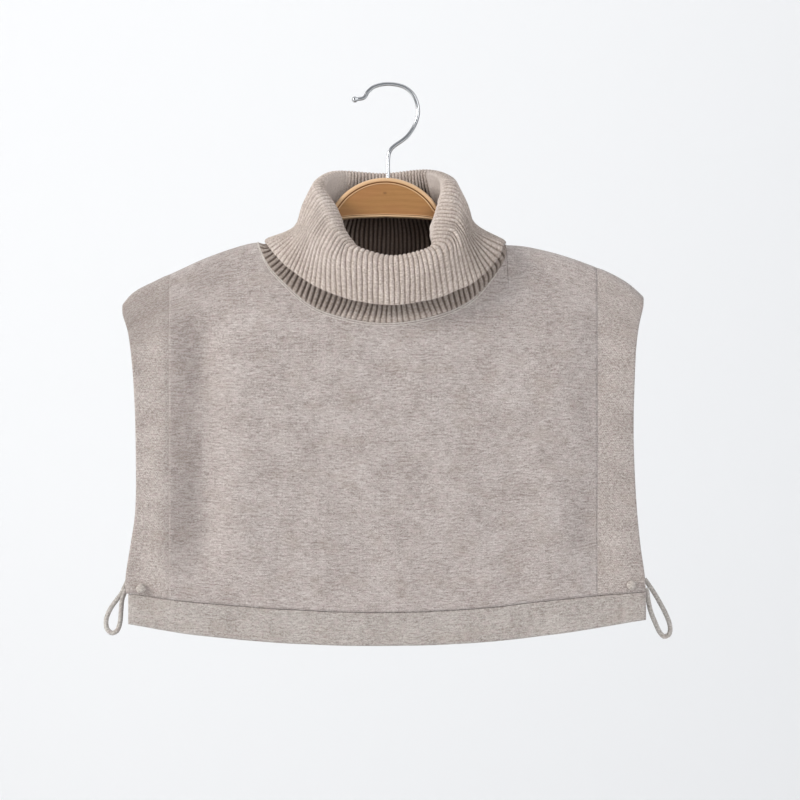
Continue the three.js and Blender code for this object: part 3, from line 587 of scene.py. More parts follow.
def panel_top(side, shoulder_steps=34, steps_a_rib=3):
    """x and way over of a panel's upper edge, from the left band to the right one."""
    span = NECK_POINT_RIB if side < 0 else RIB_COUNT // 2 - NECK_POINT_RIB
    ribs = np.linspace(-span, span, 2 * span * steps_a_rib + 1)
    x, over = neck_place(ribs if side < 0 else -RIB_COUNT / 2 - ribs)
    over = np.abs(over)
    over[0] = over[-1] = 0
    order = np.argsort(x)
    x, over = x[order], over[order]
    left = np.linspace(LEFT_BAND_INNER + SEAM_GAP, x[0], shoulder_steps + 1)[:-1]
    right = np.linspace(x[-1], RIGHT_BAND_INNER - SEAM_GAP, shoulder_steps + 1)[1:]
    still = np.zeros(shoulder_steps)
    return np.concatenate([left, x, right]), np.concatenate([still, over, still])


def front_shade(x, over, z):
    """How much painted shade dulls the front beside its deepest fold and on the left shoulder."""
    at, reach, _, top, foot = FRONT_FOLDS[1]
    flank = closeness(x, at - reach * FLANK_WAY, reach) * fold_heights(z, top, foot)
    front = closeness(x, *SHADED_SHOULDER) * (1 - smooth_step(over, *SHOULDER_FADE))
    return FOLD_SHADE * flank + SHOULDER_SHADE * front


def panel(name, side, rows=122):
    top_x, top_over = panel_top(side)
    even = np.linspace(top_x[0], top_x[-1], len(top_x))
    foot_x = (top_x + even) / 2
    foot_over = over_at(foot_x, read(HEM_SEAM, foot_x) + SEAM_GAP)
    down = np.linspace(0, 1, rows)[:, None] ** PANEL_SPREAD
    x = mixed(top_x, foot_x, down)
    over = mixed(top_over, foot_over, down)
    normal = cloth_normal(side, x, over)
    middle = cloth_point(side, x, over) - normal * PANEL_WALL / 2
    thick = np.full(x.shape, PANEL_WALL)
    # Painted shade in the colour, on the front only
    shaded = front_shade(x, over, middle[..., 2]) * (side < 0)
    return cloth_piece(name, middle, normal, thick, body_knit, "body_knit", course_map(x, over),
                       hollow=shaded)


front_panel = panel("front_panel", -1)
back_panel = panel("back_panel", 1)

# %% [markdown]
# ## Side bands
#
# Each open side is edged with a band that is worked in one strip, from the front hem up over the
# shoulder and down the back. It is a little thicker than the panels and stands slightly proud of
# them, and along the seam it laps over the panel and sinks to it, so that no gap shows. Its columns
# lie close at the free edge, which is rounded.

# %% Side bands
BAND_WALL, BAND_PROUD, BAND_TUCK, BAND_RAMP, BAND_LAP = 3.2, 0.4, 0.15, 7, 1.5
# Outer edge of each band: z, x
LEFT_EDGE = [
    (-412, -209.2), (-404, -211.3), (-394, -211), (-370, -207), (-349, -203.7), (-317, -202.8),
    (-252, -204.7), (-212, -209), (-190, -214), (-177.5, -215.4),
]
RIGHT_EDGE = [
    (-410, 206.3), (-394, 205.2), (-370, 201.5), (-329, 197.7), (-280, 196.2), (-228, 197.7),
    (-204, 200.3), (-183, 204.3), (-171.1, 205.6),
]
# Ways from the free edge, and then from the seam
EDGE_STEPS, SEAM_STEPS = [0, 0.06, 0.25, 0.6, 1.1, 1.7, 2.6], [1.2, 0.6, 0.2, 0]


def side_band(name, edge, inner, tip, shade=0.0, rows=110):
    tip_x, tip_z = tip
    reach = abs(inner - tip_x)
    share = steps_across(EDGE_STEPS, SEAM_STEPS, 15, reach) / reach
    top_x = mixed(tip_x, inner, share)
    seam_z = read(HEM_SEAM, top_x) + SEAM_GAP
    low_z = read(HEM_SEAM, np.array([tip_x]))[0]
    down = np.linspace(0, 1, rows)[:, None] ** BAND_SPREAD
    grids = []
    for side in (-1, 1):
        edge_x = read(edge, mixed(tip_z, low_z, down))
        x = mixed(edge_x, inner, share)
        over = down * over_at(x, seam_z)
        normal = cloth_normal(side, x, over)
        proud = mixed(-BAND_TUCK, BAND_PROUD, smooth_step(np.abs(inner - x), 0, BAND_RAMP))
        place = cloth_point(side, x, over) + normal * (proud - BAND_WALL / 2)[..., None]
        thick = BAND_WALL * rounded(np.abs(x - edge_x), BAND_WALL / 2)
        # Painted shade on the front of the left band near the shoulder, fading down the band
        shaded = shade * (side < 0) * (1 - smooth_step(over, *BAND_FADE))
        grids.append((place, normal, thick, course_map(x, over, side), shaded))
    front, back = grids
    joined = [np.concatenate([a[::-1], b[1:]]) for a, b in zip(front, back)]
    return cloth_piece(name, *joined[:3], band_knit, "band_knit", joined[3], hollow=joined[4])


left_side_band = side_band("left_side_band", LEFT_EDGE, LEFT_BAND_INNER + BAND_LAP, SHOULDER[0],
                           shade=BAND_SHADE)
right_side_band = side_band("right_side_band", RIGHT_EDGE, RIGHT_BAND_INNER - BAND_LAP,
                            SHOULDER[-1])

# %% [markdown]
# ## Hem bands
#
# The hem is doubled cloth: a strip folded at the lower edge and linked on above, where a thin dark
# groove shows. So the band is thicker than the panel, with a full round lip below and a sharper one
# at the seam.

# %% Hem bands
HEM_WALL, HEM_PROUD, HEM_GAP = 4.0, 0.7, 0.25
# Ways from the seam, from the lower edge and from each end, where the band is rounded
TOP_STEPS = [0, 0.1, 0.35, 0.8, 1.4, 2.2]
FOOT_STEPS = [2.6, 2.0, 1.3, 0.7, 0.3, 0.08, 0]
END_STEPS = np.array([0, 0.3, 0.9])
TOP_ROUND, FOOT_ROUND, END_ROUND = 1.5, 2.0, 1.0
# Lower edge: x, z
HEM_FOOT = [
    (-208, -433), (-157.2, -441), (-75.8, -447.9), (3.9, -449.5), (72.6, -446.9), (136.5, -440.1),
    (206.7, -429.4),
]


def hem_band(name, side, columns=210):
    x = np.linspace(HEM_SEAM[0][0], HEM_SEAM[-1][0], columns)
    x = np.concatenate([x[0] + END_STEPS, x[2:-2], x[-1] - END_STEPS[::-1]])
    top, foot = read(HEM_SEAM, x) - HEM_GAP, read(HEM_FOOT, x)
    height = (top - foot).mean()
    way = steps_across(TOP_STEPS, FOOT_STEPS, 12, height)[:, None]
    z = mixed(top, foot, way / height)
    x = x + 0 * z
    over = over_at(x, z)
    normal = cloth_normal(side, x, over)
    middle = cloth_point(side, x, over) + normal * (HEM_PROUD - HEM_WALL / 2)
    from_end = np.minimum(np.abs(x - x[0, 0]), np.abs(x - x[0, -1]))
    thick = HEM_WALL * rounded(way, TOP_ROUND, 0.3) * rounded(height - way, FOOT_ROUND)
    thick = thick * rounded(from_end, END_ROUND, 0.5)
    return cloth_piece(name, middle, normal, thick, hem_knit, "body_knit", course_map(x, over))


front_hem_band = hem_band("front_hem_band", -1)
back_hem_band = hem_band("back_hem_band", 1)

# %% [markdown]
# ## Roll neck
#
# The neck is one tube of rib knit. It stands up from the neckline, folds over, and falls outward on
# itself, lower in front than behind. The shape is one line per place round the neck, through the
# foot, the stand, a quarter circle and a quarter oval for the fold, a knee where the fall turns
# outward over the shoulders, and the free edge. The cloth's two faces lie half its thickness to
# each side.
#
# The ribs are the most striking thing on the garment, so they are real geometry: wide rounded
# ridges with narrow grooves, eight steps to a rib, shifted by half a rib on the reverse. A
# displacement of a plain tube would need many more faces to look as crisp.

# %% Roll neck
COLLAR_WALL, FOLD_SLOT, KNEE_SLACK = 3.0, 0.6, 0.35
PUFF_LEAST, PUFF_SHARE, PUFF_PLACE = 0.8, 0.06, 0.45
RIB_PITCH = 4.4
RIB_RISE, RIB_SHARPNESS, RIB_MIDDLE = 0.7, 4.5, 0.3
STEPS_A_RIB = 8
# Steps to each stretch of the line from the foot over the fold, and rows close to the free edge
STRETCH_STEPS = [5, 7, 7, 3, 3, 3, 3, 4, 4, 10]
CREST_ROW = sum(STRETCH_STEPS[:5])
LIP_WAYS = [1.1, 0.6, 0.25, 0.06, 0]
# rib, slack at the free edge, the fold's radius toward the neck, its reach and its depth toward
# the fall, then x, y, z of the fold's crest, of the knee and of the free edge
COLLAR = [
    (-54, 8, 4.9, 5.4, 5.4, -5, 27.6, -67, -4.6, 33.5, -97, -4.4, 32, -119.7),
    (-43, 5, 4.9, 5.6, 5.6, -36, 22, -65.8, -42, 28, -100, -48, 29, -118.8),
    (-38, 2.5, 4.9, 6.4, 6, -48, 14.5, -67.5, -60.5, 19.5, -106, -76, 23, -120.5),
    (-33, 0.8, 4.9, 6.8, 6, -54.6, 5, -73, -74, 5, -112, -99, 6, -123),
    (-28, 0.8, 4.9, 7.6, 5.6, -54.5, -6, -80.5, -75.5, -8, -115, -97.5, -14, -128.5),
    (-22.5, 3, 4.9, 9.6, 5.2, -45.5, -18, -95.5, -68, -24.5, -121, -84.3, -27, -144.5),
    (-19, 5, 4.9, 10.4, 5, -41.2, -24.5, -104.5, -64, -30.5, -127.5, -74, -31.5, -153),
    (-15, 7, 4.9, 10, 5, -37, -30.5, -115, -55.7, -37.5, -135.4, -60.1, -36, -162.6),
    (-11, 8.7, 4.9, 8, 5, -30.4, -35, -125.5, -43.3, -44, -143.6, -43.5, -39.5, -170.3),
    (-7, 10, 4.9, 6, 5.2, -23, -38.5, -133, -27.5, -48, -150.5, -26.8, -42, -175.6),
    (0, 11, 4.9, 5.6, 5.6, 2.1, -41, -139.6, 2.3, -49, -157.5, 2.3, -44, -179.2),
    (7, 10, 5, 6, 5.6, 25.3, -39.5, -135.4, 29.9, -47.5, -153, 31.5, -42, -175.2),
    (10, 9, 5.3, 7.5, 5, 33.5, -37.5, -131.5, 41.4, -45, -148, 44.9, -40, -171.2),
    (12, 8.3, 5.9, 10, 4.8, 36.5, -35, -126.8, 49.5, -42, -141.5, 53.6, -38.5, -167.1),
    (15, 7, 6.7, 14, 5, 37.9, -31, -117.8, 57.5, -36, -133, 64.7, -36, -162.1),
    (18, 4.6, 7.3, 15.4, 5.5, 39.1, -26, -109.2, 62.5, -29.5, -127, 75.5, -32.5, -153.4),
    (22, 3, 7.4, 12.8, 6.5, 42.4, -18.5, -97, 66.8, -22, -121, 88, -26, -138.8),
    (24, 2, 7.2, 11, 7, 44.2, -14.5, -90.7, 68, -16.5, -117.5, 91.8, -21, -129.5),
    (28, 0.4, 6.4, 9.6, 7.6, 47.3, -4, -78.8, 68.8, -3, -111.5, 94.5, -4, -125.8),
    (33, 0.6, 5.4, 9, 7.6, 45.8, 7, -70.6, 67, 9, -110, 90, 15, -123.5),
    (38, 2.5, 4.9, 7, 7, 38, 15.5, -66.4, 51, 21, -105.5, 62, 25.5, -119.5),
    (43, 5, 4.9, 5.6, 5.6, 25.5, 22.5, -64.8, 31, 28.5, -100, 35.5, 29.5, -118.3),
]
COLLAR_RING = ring_table(COLLAR)
CREST, KNEE, EDGE = 5, 8, 11


def ring_point(rib, part):
    """A point of the collar's table at a rib: its fold's crest, knee or free edge."""
    return np.stack([read(COLLAR_RING, rib, part + axis) for axis in range(3)], axis=-1)


def neck_edge(rib, below=0):
    """Point and normal of the cloth at the neckline, or some way below it."""
    x, over = neck_place(rib)
    way, in_front = np.abs(over) + below, (over >= 0)[:, None]
    return (np.where(in_front, cloth_point(-1, x, way), cloth_point(1, x, way)),
            np.where(in_front, cloth_normal(-1, x, way), cloth_normal(1, x, way)))


def around(points):
    """Direction from one place round the neck to the next."""
    return unit(np.roll(points, -1, axis=0) - np.roll(points, 1, axis=0))


def flat_to(vectors, along):
    return unit(vectors - along * (vectors * along).sum(-1, keepdims=True))


def facing(normal, out):
    return np.where(((normal * out).sum(-1) < 0)[..., None], -normal, normal)


ribs = np.arange(RIB_COUNT * STEPS_A_RIB) / STEPS_A_RIB - RIB_COUNT / 2
crest, knee, edge = (ring_point(ribs, part) for part in (CREST, KNEE, EDGE))
slack, neck_roll, fall_reach, fall_drop = (read(COLLAR_RING, ribs, column)[:, None]
                                           for column in (1, 2, 3, 4))
along = around(crest)
up = flat_to(np.tile([0.0, 0.0, 1.0], (len(ribs), 1)), along)
out = unit(np.cross(along, up))
shoulder = crest + out * fall_reach - up * fall_drop
knee_normal = facing(unit(np.cross(around(knee), edge - shoulder)), out)
edge_normal = facing(unit(np.cross(around(edge), edge - knee)), out)
neck_point, neck_normal = neck_edge(ribs)
knee_middle = knee - knee_normal * COLLAR_WALL / 2
spine = [
    neck_point - neck_normal * COLLAR_WALL / 2,
    edge - edge_normal * (1.5 * COLLAR_WALL + slack),
    knee - knee_normal * (1.5 * COLLAR_WALL + FOLD_SLOT + slack * KNEE_SLACK),
]
for turn in (1, 0.75, 0.5, 0.25, 0):
    angle = turn * math.pi
    reach, drop = (neck_roll, neck_roll) if turn > 0.5 else (fall_reach, fall_drop)
    spine.append(crest - up * drop + out * math.cos(angle) * (reach - COLLAR_WALL / 2)
                 + up * math.sin(angle) * (drop - COLLAR_WALL / 2))
puff = out * (PUFF_LEAST + PUFF_SHARE * slack)
spine += [mixed(spine[-1], knee_middle, PUFF_PLACE) + puff, knee_middle,
          edge - edge_normal * COLLAR_WALL / 2]
print("places round the neck:", len(ribs), "with", len(spine), "points each")


def smooth_rows(spine, steps):
    """Rows of a smooth line through each place's points, with so many steps to each stretch."""
    spine = np.stack(spine)
    length = np.linalg.norm(np.diff(spine, axis=0), axis=-1, keepdims=True)
    way = np.concatenate([np.zeros((1, *length.shape[1:])), np.cumsum(length, axis=0)])
    inner = (spine[2:] - spine[:-2]) / (way[2:] - way[:-2])
    ends = [(spine[1] - spine[0]) / length[0], (spine[-1] - spine[-2]) / length[-1]]
    slope = np.concatenate([ends[:1], inner, ends[1:]])
    rows = []
    for at, count in enumerate(steps):
        leaving, arriving = length[at] * slope[at], length[at] * slope[at + 1]
        rows += [cubic(t, spine[at], spine[at + 1], leaving, arriving)
                 for t in np.arange(count) / count]
    return np.stack(rows + [spine[-1]])


def lip(points, way):
    """Extra rows close to the free edge, so that it can be rounded."""
    near = unit(points[-1] - points[-2])
    return np.concatenate([points[:-1], [points[-1] - near * back for back in way]])


rows = lip(smooth_rows(spine, STRETCH_STEPS), LIP_WAYS)
down_line = unit(np.gradient(rows, axis=0))
round_line = unit(np.roll(rows, -1, axis=1) - np.roll(rows, 1, axis=1))
collar_normal = unit(np.cross(round_line, down_line))
if (collar_normal[CREST_ROW] * up).sum() < 0:
    collar_normal = -collar_normal
steps_down = np.linalg.norm(np.diff(rows, axis=0), axis=-1)
from_foot = np.concatenate([np.zeros((1, rows.shape[1])), np.cumsum(steps_down, axis=0)])
collar_way = from_foot - from_foot[CREST_ROW]
to_edge = from_foot[-1] - from_foot
print("collar depth, foot to free edge, in front:", round(float(from_foot[-1][len(ribs) // 2]), 1))

# %% [markdown]
# The ribs are highest on the fall. They flatten at the foot, over the crest and at the free edge,
# and where the cloth is stretched smooth they nearly vanish. The same ways and rib numbers set the
# shade and light painted into the colour: painted shade under the fall, deep in the neck and on
# the flank that is turned away from the lamp, and painted light on the flank that faces it and
# where the cloth is stretched smooth.

# %% Ribs and the light and shade painted on them
# How low the ribs are at the foot and at the free edge, what the crest takes, and how far each goes
FOOT_LOW, FOOT_REACH, EDGE_LOW, EDGE_REACH = 0.25, 4, 0.15, (0.4, 3)
CREST_LOSS, CREST_REACH = 0.4, 7
# Ribs or ways down where a change starts, is full, begins to fade and ends
SMOOTH_RIGHT, SMOOTH_LEFT, SMOOTH_LOSS = (8, 13, 39.5, 41), (25, 30, 43, 46), 0.9
NECK_SIDES, AWAY_RIBS = (6, 12, 33, 38), (14, 19, 34, 38)
LIT_RIBS, LIT_WAYS = (-19, 8), (-2, 8, 38, 55)
# How much painted shade darkens the neck's inside, the right flank and the place under the fall,
# and how much painted light makes the left flank paler
DEEP, TURNED_AWAY, TUCKED, LIT = 1.15, 0.3, 0.5, 0.3


def rib_rise(rib):
    """From 1 on a ridge to -1 in a groove, with wide ridges."""
    return 1 - 2 * np.abs(np.sin(math.pi * rib)) ** RIB_SHARPNESS


# The ribs sway and swell a little, so that they don't look ruled
sway = 0.05 * np.sin(collar_way / 9.0 + ribs * 0.7) + 0.03 * np.sin(collar_way / 4.1 - ribs * 1.9)
uneven = 1 + 0.12 * np.sin(ribs * 5.3) * np.sin(collar_way / 13 + ribs)
body = rounded(to_edge, COLLAR_WALL / 2)
ease = np.clip(from_foot / FOOT_REACH, FOOT_LOW, 1)
ease = ease * (1 - CREST_LOSS * closeness(collar_way, 0, CREST_REACH))
ease = ease * mixed(EDGE_LOW, 1, smooth_step(to_edge, *EDGE_REACH))
# On the right the roll's inner side is stretched smooth, and so is the back's far left
plain = between(ribs, *SMOOTH_RIGHT) + between(-ribs, *SMOOTH_LEFT)
plain = plain * smooth_step(-collar_way, 1, 6) * smooth_step(from_foot, 10, 20)
ease = RIB_RISE * ease * (1 - SMOOTH_LOSS * plain)
face_rise = (COLLAR_WALL / 2 + uneven * ease * (rib_rise(ribs + sway) - RIB_MIDDLE)) * body
back_rise = (COLLAR_WALL / 2 + ease * (rib_rise(ribs + sway + 0.5) - RIB_MIDDLE)) * body
outer = rows + collar_normal * face_rise[..., None]
inner = rows - collar_normal * back_rise[..., None]
# Painted shade and light on the outer face, and painted shade on the inner one under the fall
neck_side = between(np.abs(ribs), *NECK_SIDES)
under_fall = between(from_foot, 1 - 3 * neck_side, 9 - 5 * neck_side, 14, 30)
under_fall = TUCKED * under_fall * (1 + 0.25 * neck_side)
away = TURNED_AWAY * between(ribs, *AWAY_RIBS) * smooth_step(collar_way, 14, 32)
lit = LIT * closeness(ribs, *LIT_RIBS) * between(collar_way, *LIT_WAYS)
at_back = smooth_step(ribs, 39.5, 41.5) + smooth_step(-ribs, 38, 50)
deep = DEEP * smooth_step(from_foot, 0, 4) * smooth_step(-collar_way, 4, 26) * at_back
# Above 0 painted shade; below 0 painted light, which makes the left flank and the stretched smooth
# cloth paler
collar_hollow = np.concatenate([deep + away - lit - plain * (1 - at_back), under_fall]).ravel()
# The inner face's map is half a rib aside, like its ribs
collar_map = np.stack([(ribs + sway) * RIB_PITCH, collar_way], axis=-1).reshape(-1, 2)
collar_map = np.concatenate([collar_map, collar_map + [RIB_PITCH / 2, 0]])
collar_points = np.concatenate([outer, inner]).reshape(-1, 3)
row_count, round_count = outer.shape[:2]
reverse = row_count * round_count
collar_faces = grid_faces(row_count, round_count, ring=True)
collar_faces += grid_faces(row_count, round_count, reverse, ring=True)
for row in (0, row_count - 1):
    for column in range(round_count):
        a, b = row * round_count + column, row * round_count + (column + 1) % round_count
        collar_faces.append((a, b, b + reverse, a + reverse))
print("rows down the collar:", row_count, "with", round_count, "places each")

# %% [markdown]
# The rib's finish follows its shape. Painted shade darkens the grooves, so the same rib number
# that lifts the ridges also darkens the grooves between them. Three columns of stitches make one
# rib: two on the ridge and one in the groove. Where the mesh's value is below 0, on cloth that is
# stretched smooth and on the flank that faces the lamp, the painted dark lines fade and painted
# light makes the rib paler.

# %% Rib finish
def rib_knit(name):
    finish = Finish(name)
    u, v = finish.place()
    groove = (u * (math.pi / RIB_PITCH)).sine().size()
    height = plain_stitches(u, v, wale=RIB_PITCH / 3, course=1.5, lean=0.5)
    colour = heather(finish, u, v, "#aa9c90", "#d4c6bc", "#ede3db", dash=2.5)
    hollow = finish.hollow()
    # Painted light: the stretched smooth cloth and the lit left flank, from the mesh's value below
    # 0
    stretched = (hollow * -1).at_least(0.0)
    shaded = finish.tinted(colour, "#8a7869")
    # Painted shade in the grooves and, more lightly, between the stitches
    dark_line = finish.blur_step(groove, 0.8, 1.0) * (1 - stretched)
    colour = finish.mix(dark_line * 0.45, colour, shaded)
    colour = finish.mix(finish.blur_step(height, 0.7, 0.05) * 0.18, colour, shaded)
    colour = finish.mix(stretched * 0.6, colour, linear("#f2e8e1"))
    # Painted shade where the mesh's value is above 0, deepest in the grooves
    edge = finish.blur_step(groove, 0.6, 0.95)
    kept = hollow.at_least(0.0) * (edge * 0.5 + 0.75)
    colour = finish.mix(kept, colour, finish.tinted(colour, "#5a4c41"))
    return soft_yarn(finish, u, v, colour, height, 0.36, 0.1)


collar = make_object("roll_neck_knit", collar_points, collar_faces, rib_knit("rib_knit"),
                     collar_map, period=RIB_COUNT * RIB_PITCH, hollow=collar_hollow)
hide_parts("collar")

# %% [markdown]
# ## Linking
#
# The neck is linked to the panels with a row of chain stitches, which shows as two fine light lines
# round the neckline. Each is a thin yarn laid on the cloth just below the neck, thicker and thinner
# with every stitch. A texture line would look painted on, because the real one catches the light.

# %% Tubes and the linking yarn
def sweep(line, radius, sides, closed=False):
    """Rings of points round a line. The radius is a number, or one value for each ring and side."""
    line = np.asarray(line, dtype=float)
    if closed:
        ahead = unit(np.roll(line, -1, axis=0) - np.roll(line, 1, axis=0))
    else:
        ahead = unit(np.gradient(line, axis=0))
    side = np.empty_like(line)
    side[0] = unit(np.cross(ahead[0], [0.0, 1.0, 0.02]))
    for at in range(1, len(line)):
        side[at] = unit(side[at - 1] - ahead[at] * (side[at - 1] @ ahead[at]))
    rise = np.cross(side, ahead)
    angle = np.arange(sides) * 2 * math.pi / sides
    radius = np.broadcast_to(radius, (len(line), sides))[..., None]
    wide = np.cos(angle)[None, :, None] * side[:, None]
    high = np.sin(angle)[None, :, None] * rise[:, None]
    return line[:, None] + (wide + high) * radius


def tube_faces(rings, sides):
    """Faces of a tube that is closed at both ends."""
    last = (rings - 1) * sides
    return grid_faces(rings, sides, ring=True) + [range(sides)[::-1], range(last, last + sides)]


yarn_knit = knit("linking_yarn", "#b3aba4", "#cfc8c1", "#e2dcd6", depth=0.1, shade=0.0)
# Each line's way below the neck, and its yarn's radius
LINK_LINES = [(0.5, 0.5), (2.3, 0.45)]
LINK_SIDES, LINK_STEPS, LINK_LIFT, LINKS_A_RIB = 6, 9, 0.2, 1.5
link_ribs = np.arange(RIB_COUNT * LINK_STEPS) / LINK_STEPS - RIB_COUNT / 2
stitch = np.abs(np.sin(link_ribs * math.pi * LINKS_A_RIB))[:, None]
link_points, link_faces, link_maps = [], [], []
for below, yarn_radius in LINK_LINES:
    line, look = neck_edge(link_ribs, below)
    rings = sweep(line + look * LINK_LIFT, yarn_radius * (0.75 + 0.35 * stitch), LINK_SIDES,
                  closed=True)
    link_faces += grid_faces(len(line), LINK_SIDES, len(link_points), ring=True, loop=True)
    link_points += rings.reshape(-1, 3).tolist()
    link_maps += [(rib * RIB_PITCH, at) for rib in link_ribs for at in range(LINK_SIDES)]
linking = make_object("neck_linking", link_points, link_faces, yarn_knit, link_maps,
                      period=RIB_COUNT * RIB_PITCH)

# %% [markdown]
# ## Buttons
#
# Each button is a small disc covered with a scrap of the same knit, so it is a low dome with a
# rounded rim, and its stitches are drawn together underneath. A turned profile gives the dome, and
# slow dents keep it from looking like a moulded bead.

# %% Buttons
BUTTON_WIDTH, BUTTON_HEIGHT, BUTTON_SINK = 7.6, 4.4, 0.15
# Share of the button's radius and of its height, from the foot to the top
BUTTON_PROFILE = [
    (0, 0), (0.4, 0), (0.72, 0.02), (0.9, 0.12), (1, 0.32), (0.98, 0.5), (0.9, 0.68), (0.74, 0.84),
    (0.5, 0.95), (0.25, 0.99), (0, 1),
]
button_knit = knit("button_knit", "#a2978d", "#cbc3bb", "#e3dcd5", depth=0.3, shade=0.45, dash=2.0,
                   stitches=lambda u, v: plain_stitches(u, v, 1.25, 1.0))


def button(name, x, z, sides=40):
    near = np.array([-1, 0, 1]) * BUTTON_WIDTH / 2 + x
    front = cloth_point(-1, near, over_at(near, z + 0 * near))[:, 1].min()
    seat = front - BAND_PROUD - BUTTON_SINK
    points, maps = [], []
    profile = BUTTON_PROFILE[1:-1]
    for share, rise in profile:
        for at in range(sides):
            angle = at * 2 * math.pi / sides
            dent = 1 + 0.035 * math.sin(angle * 3 + x) + 0.025 * math.sin(angle * 7 + rise * 9)
            reach = share * BUTTON_WIDTH / 2 * dent
            points.append((x + reach * math.cos(angle), seat - rise * BUTTON_HEIGHT,
                           z + reach * math.sin(angle)))
            maps.append((reach * math.cos(angle), reach * math.sin(angle)))
    points += [(x, seat, z), (x, seat - BUTTON_HEIGHT, z)]
    maps += [(0, 0), (0, 0)]
    faces = grid_faces(len(profile), sides, ring=True)
    foot, top = len(points) - 2, len(points) - 1
    last = (len(profile) - 1) * sides
    for at in range(sides):
        beside = (at + 1) % sides
        faces += [(foot, beside, at), (top, last + at, last + beside)]
    made = make_object(name + "_knit", points, faces, button_knit, maps)
    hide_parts(name)
    return made


button("left_button", -198.5, -403.8)
button("right_button", 193.8, -401.2)

# %% [markdown]
# ## Cord loops
#
# The loops are knitted tubes about 4 mm thick that come out of the back of each band's edge, hang
# down, turn and go back in. A curve with a round bevel would be a smooth rope, so the tube is built
# as rings, and a pattern of slanting bumps gives it the four columns of stitches of a knitted cord.

# %% Cord loops
CORD, CORD_STEP, CORD_STITCH = 4.0, 0.45, 1.9
# Centre line of each loop: x, y, z
LEFT_LOOP = [
    (-212.8, 10.2, -400.6), (-214.6, 10.4, -404.6), (-217.8, 10.4, -411), (-222.4, 10.2, -417),
    (-226.6, 9.8, -423.4), (-229.4, 9.2, -431), (-228.8, 8.6, -438.4), (-224.8, 8, -442),
    (-220.4, 7.4, -440), (-217.8, 6.8, -432.6), (-217, 6.2, -423.6), (-216, 5.8, -414.6),
    (-213.8, 5.8, -408.6), (-212.8, 5.9, -406.4),
]
RIGHT_LOOP = [
    (207.4, 10.2, -398.6), (210.2, 10.4, -402.4), (215, 10.4, -409.6), (220, 10.2, -418.2),
    (224.8, 9.8, -427.6), (227.8, 9.2, -436.6), (227, 8.6, -443), (222.8, 8, -444.8),
    (219, 7.4, -441), (215.4, 6.8, -433.4), (212, 6.2, -425), (209.8, 5.8, -416),
    (208.8, 5.8, -409), (207.6, 5.9, -405.6),
]
cord_knit = knit("cord_knit", "#938c85", "#c2bdb7", "#dedad4", depth=0.16, shade=0.3, dash=2.5,
                 stitches=lambda u, v: plain_stitches(u, v, 1.57, 1.3))


def even_line(points, step):
    """A smooth line through points, with places an even step apart, and its length."""
    spine = [np.array([point], dtype=float) for point in points]
    fine = smooth_rows(spine, [24] * (len(points) - 1))[:, 0]
    way = np.concatenate([[0], np.cumsum(np.linalg.norm(np.diff(fine, axis=0), axis=1))])
    even = np.linspace(0, way[-1], int(way[-1] / step) + 1)
    return np.stack([np.interp(even, way, fine[:, axis]) for axis in range(3)], axis=1), way[-1]


def cord_loop(name, points, sides=16):
    line, length = even_line(points, CORD_STEP)
    at = np.arange(len(line))[:, None] * CORD_STEP
    angle = np.arange(sides)[None] * 2 * math.pi / sides
    column = np.abs(np.sin(angle * 2 + at * 0.05))
    bead = np.cos(2 * math.pi * at / CORD_STITCH + column * 2.2)
    radius = CORD / 2 * (0.93 + 0.05 * column + 0.045 * bead)
    rings = sweep(line, radius, sides)
    maps = np.stack([angle * CORD / 2 + 0 * at, at + 0 * angle], axis=-1)
    piece = make_object(name + "_knit", rings.reshape(-1, 3), tube_faces(len(line), sides),
                        cord_knit, maps.reshape(-1, 2))
    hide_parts(name)
    print(name, "is", round(length, 1), "mm long")
    return piece


cord_loop("left_loop", LEFT_LOOP)
cord_loop("right_loop", RIGHT_LOOP)

# %% [markdown]
# ## Wooden hanger
#
# The hanger is one flat board, cut to a hump in the middle and two sloping arms, with rounded edges
# and a turned frame: a flat rim, a groove, a fine bead, and a sunken face. All of these run
# parallel to the outline, so the board is a stack of copies of the outline, each moved inward and
# to its own depth. A bevel modifier would give the rounding but not the groove and the bead. The
# groove holds a dark stain, and the rim is paler than the face; along the lower edge a painted
# highlight makes it paler still.

# %% Hanger board
HANGER_MIDDLE = -3
HUMP_TOP, HUMP_RADIUS, HUMP_HALF_ANGLE = -74.2, 49.4, 1.0
# Upper and lower edge of one arm: way out from the middle, z
ARM_TOP = [
    (47, -104), (56, -114), (66, -123.6), (80, -130.4), (102, -133.8), (122, -136.4), (146, -144),
    (162, -151.2), (172, -157),
]
# The arm's line starts and ends here, and its round tip has this middle, reach and rise
ARM_START, ARM_END = 48.5, 172
TIP_MIDDLE, TIP_REACH, TIP_RISE = (170, -165.2), 8, 8.4
ARM_FOOT = [
    (0, -106), (36, -108), (46, -113), (58, -124.5), (70, -134.5), (85, -141.5), (102, -149),
    (140, -164), (172, -173.5),
]
# Section of the frame, from the board's middle line inward: way in, depth
FRAME = [
    (0, 0), (0, 1.5), (0.12, 2.9), (0.5, 4.0), (1.1, 4.7), (1.9, 5.0), (3.1, 5.0), (3.35, 4.9),
    (3.6, 4.35), (3.9, 4.2), (4.15, 4.55), (4.5, 4.8), (4.9, 4.75), (5.25, 4.35), (5.5, 4.3),
    (5.9, 4.3),
]
LOWER_SHARE, THIN_ARM = 0.5, 11.5
GROOVE_WAY, GROOVE_REACH, FACE_WAY, FACE_SHADE = 3.8, 0.5, 5.2, 0.15
# How pale the rim is, and how much more pale mix the lower edge gets as a painted highlight
RIM_LIGHT, LIP_LIGHT = -0.65, 1.4


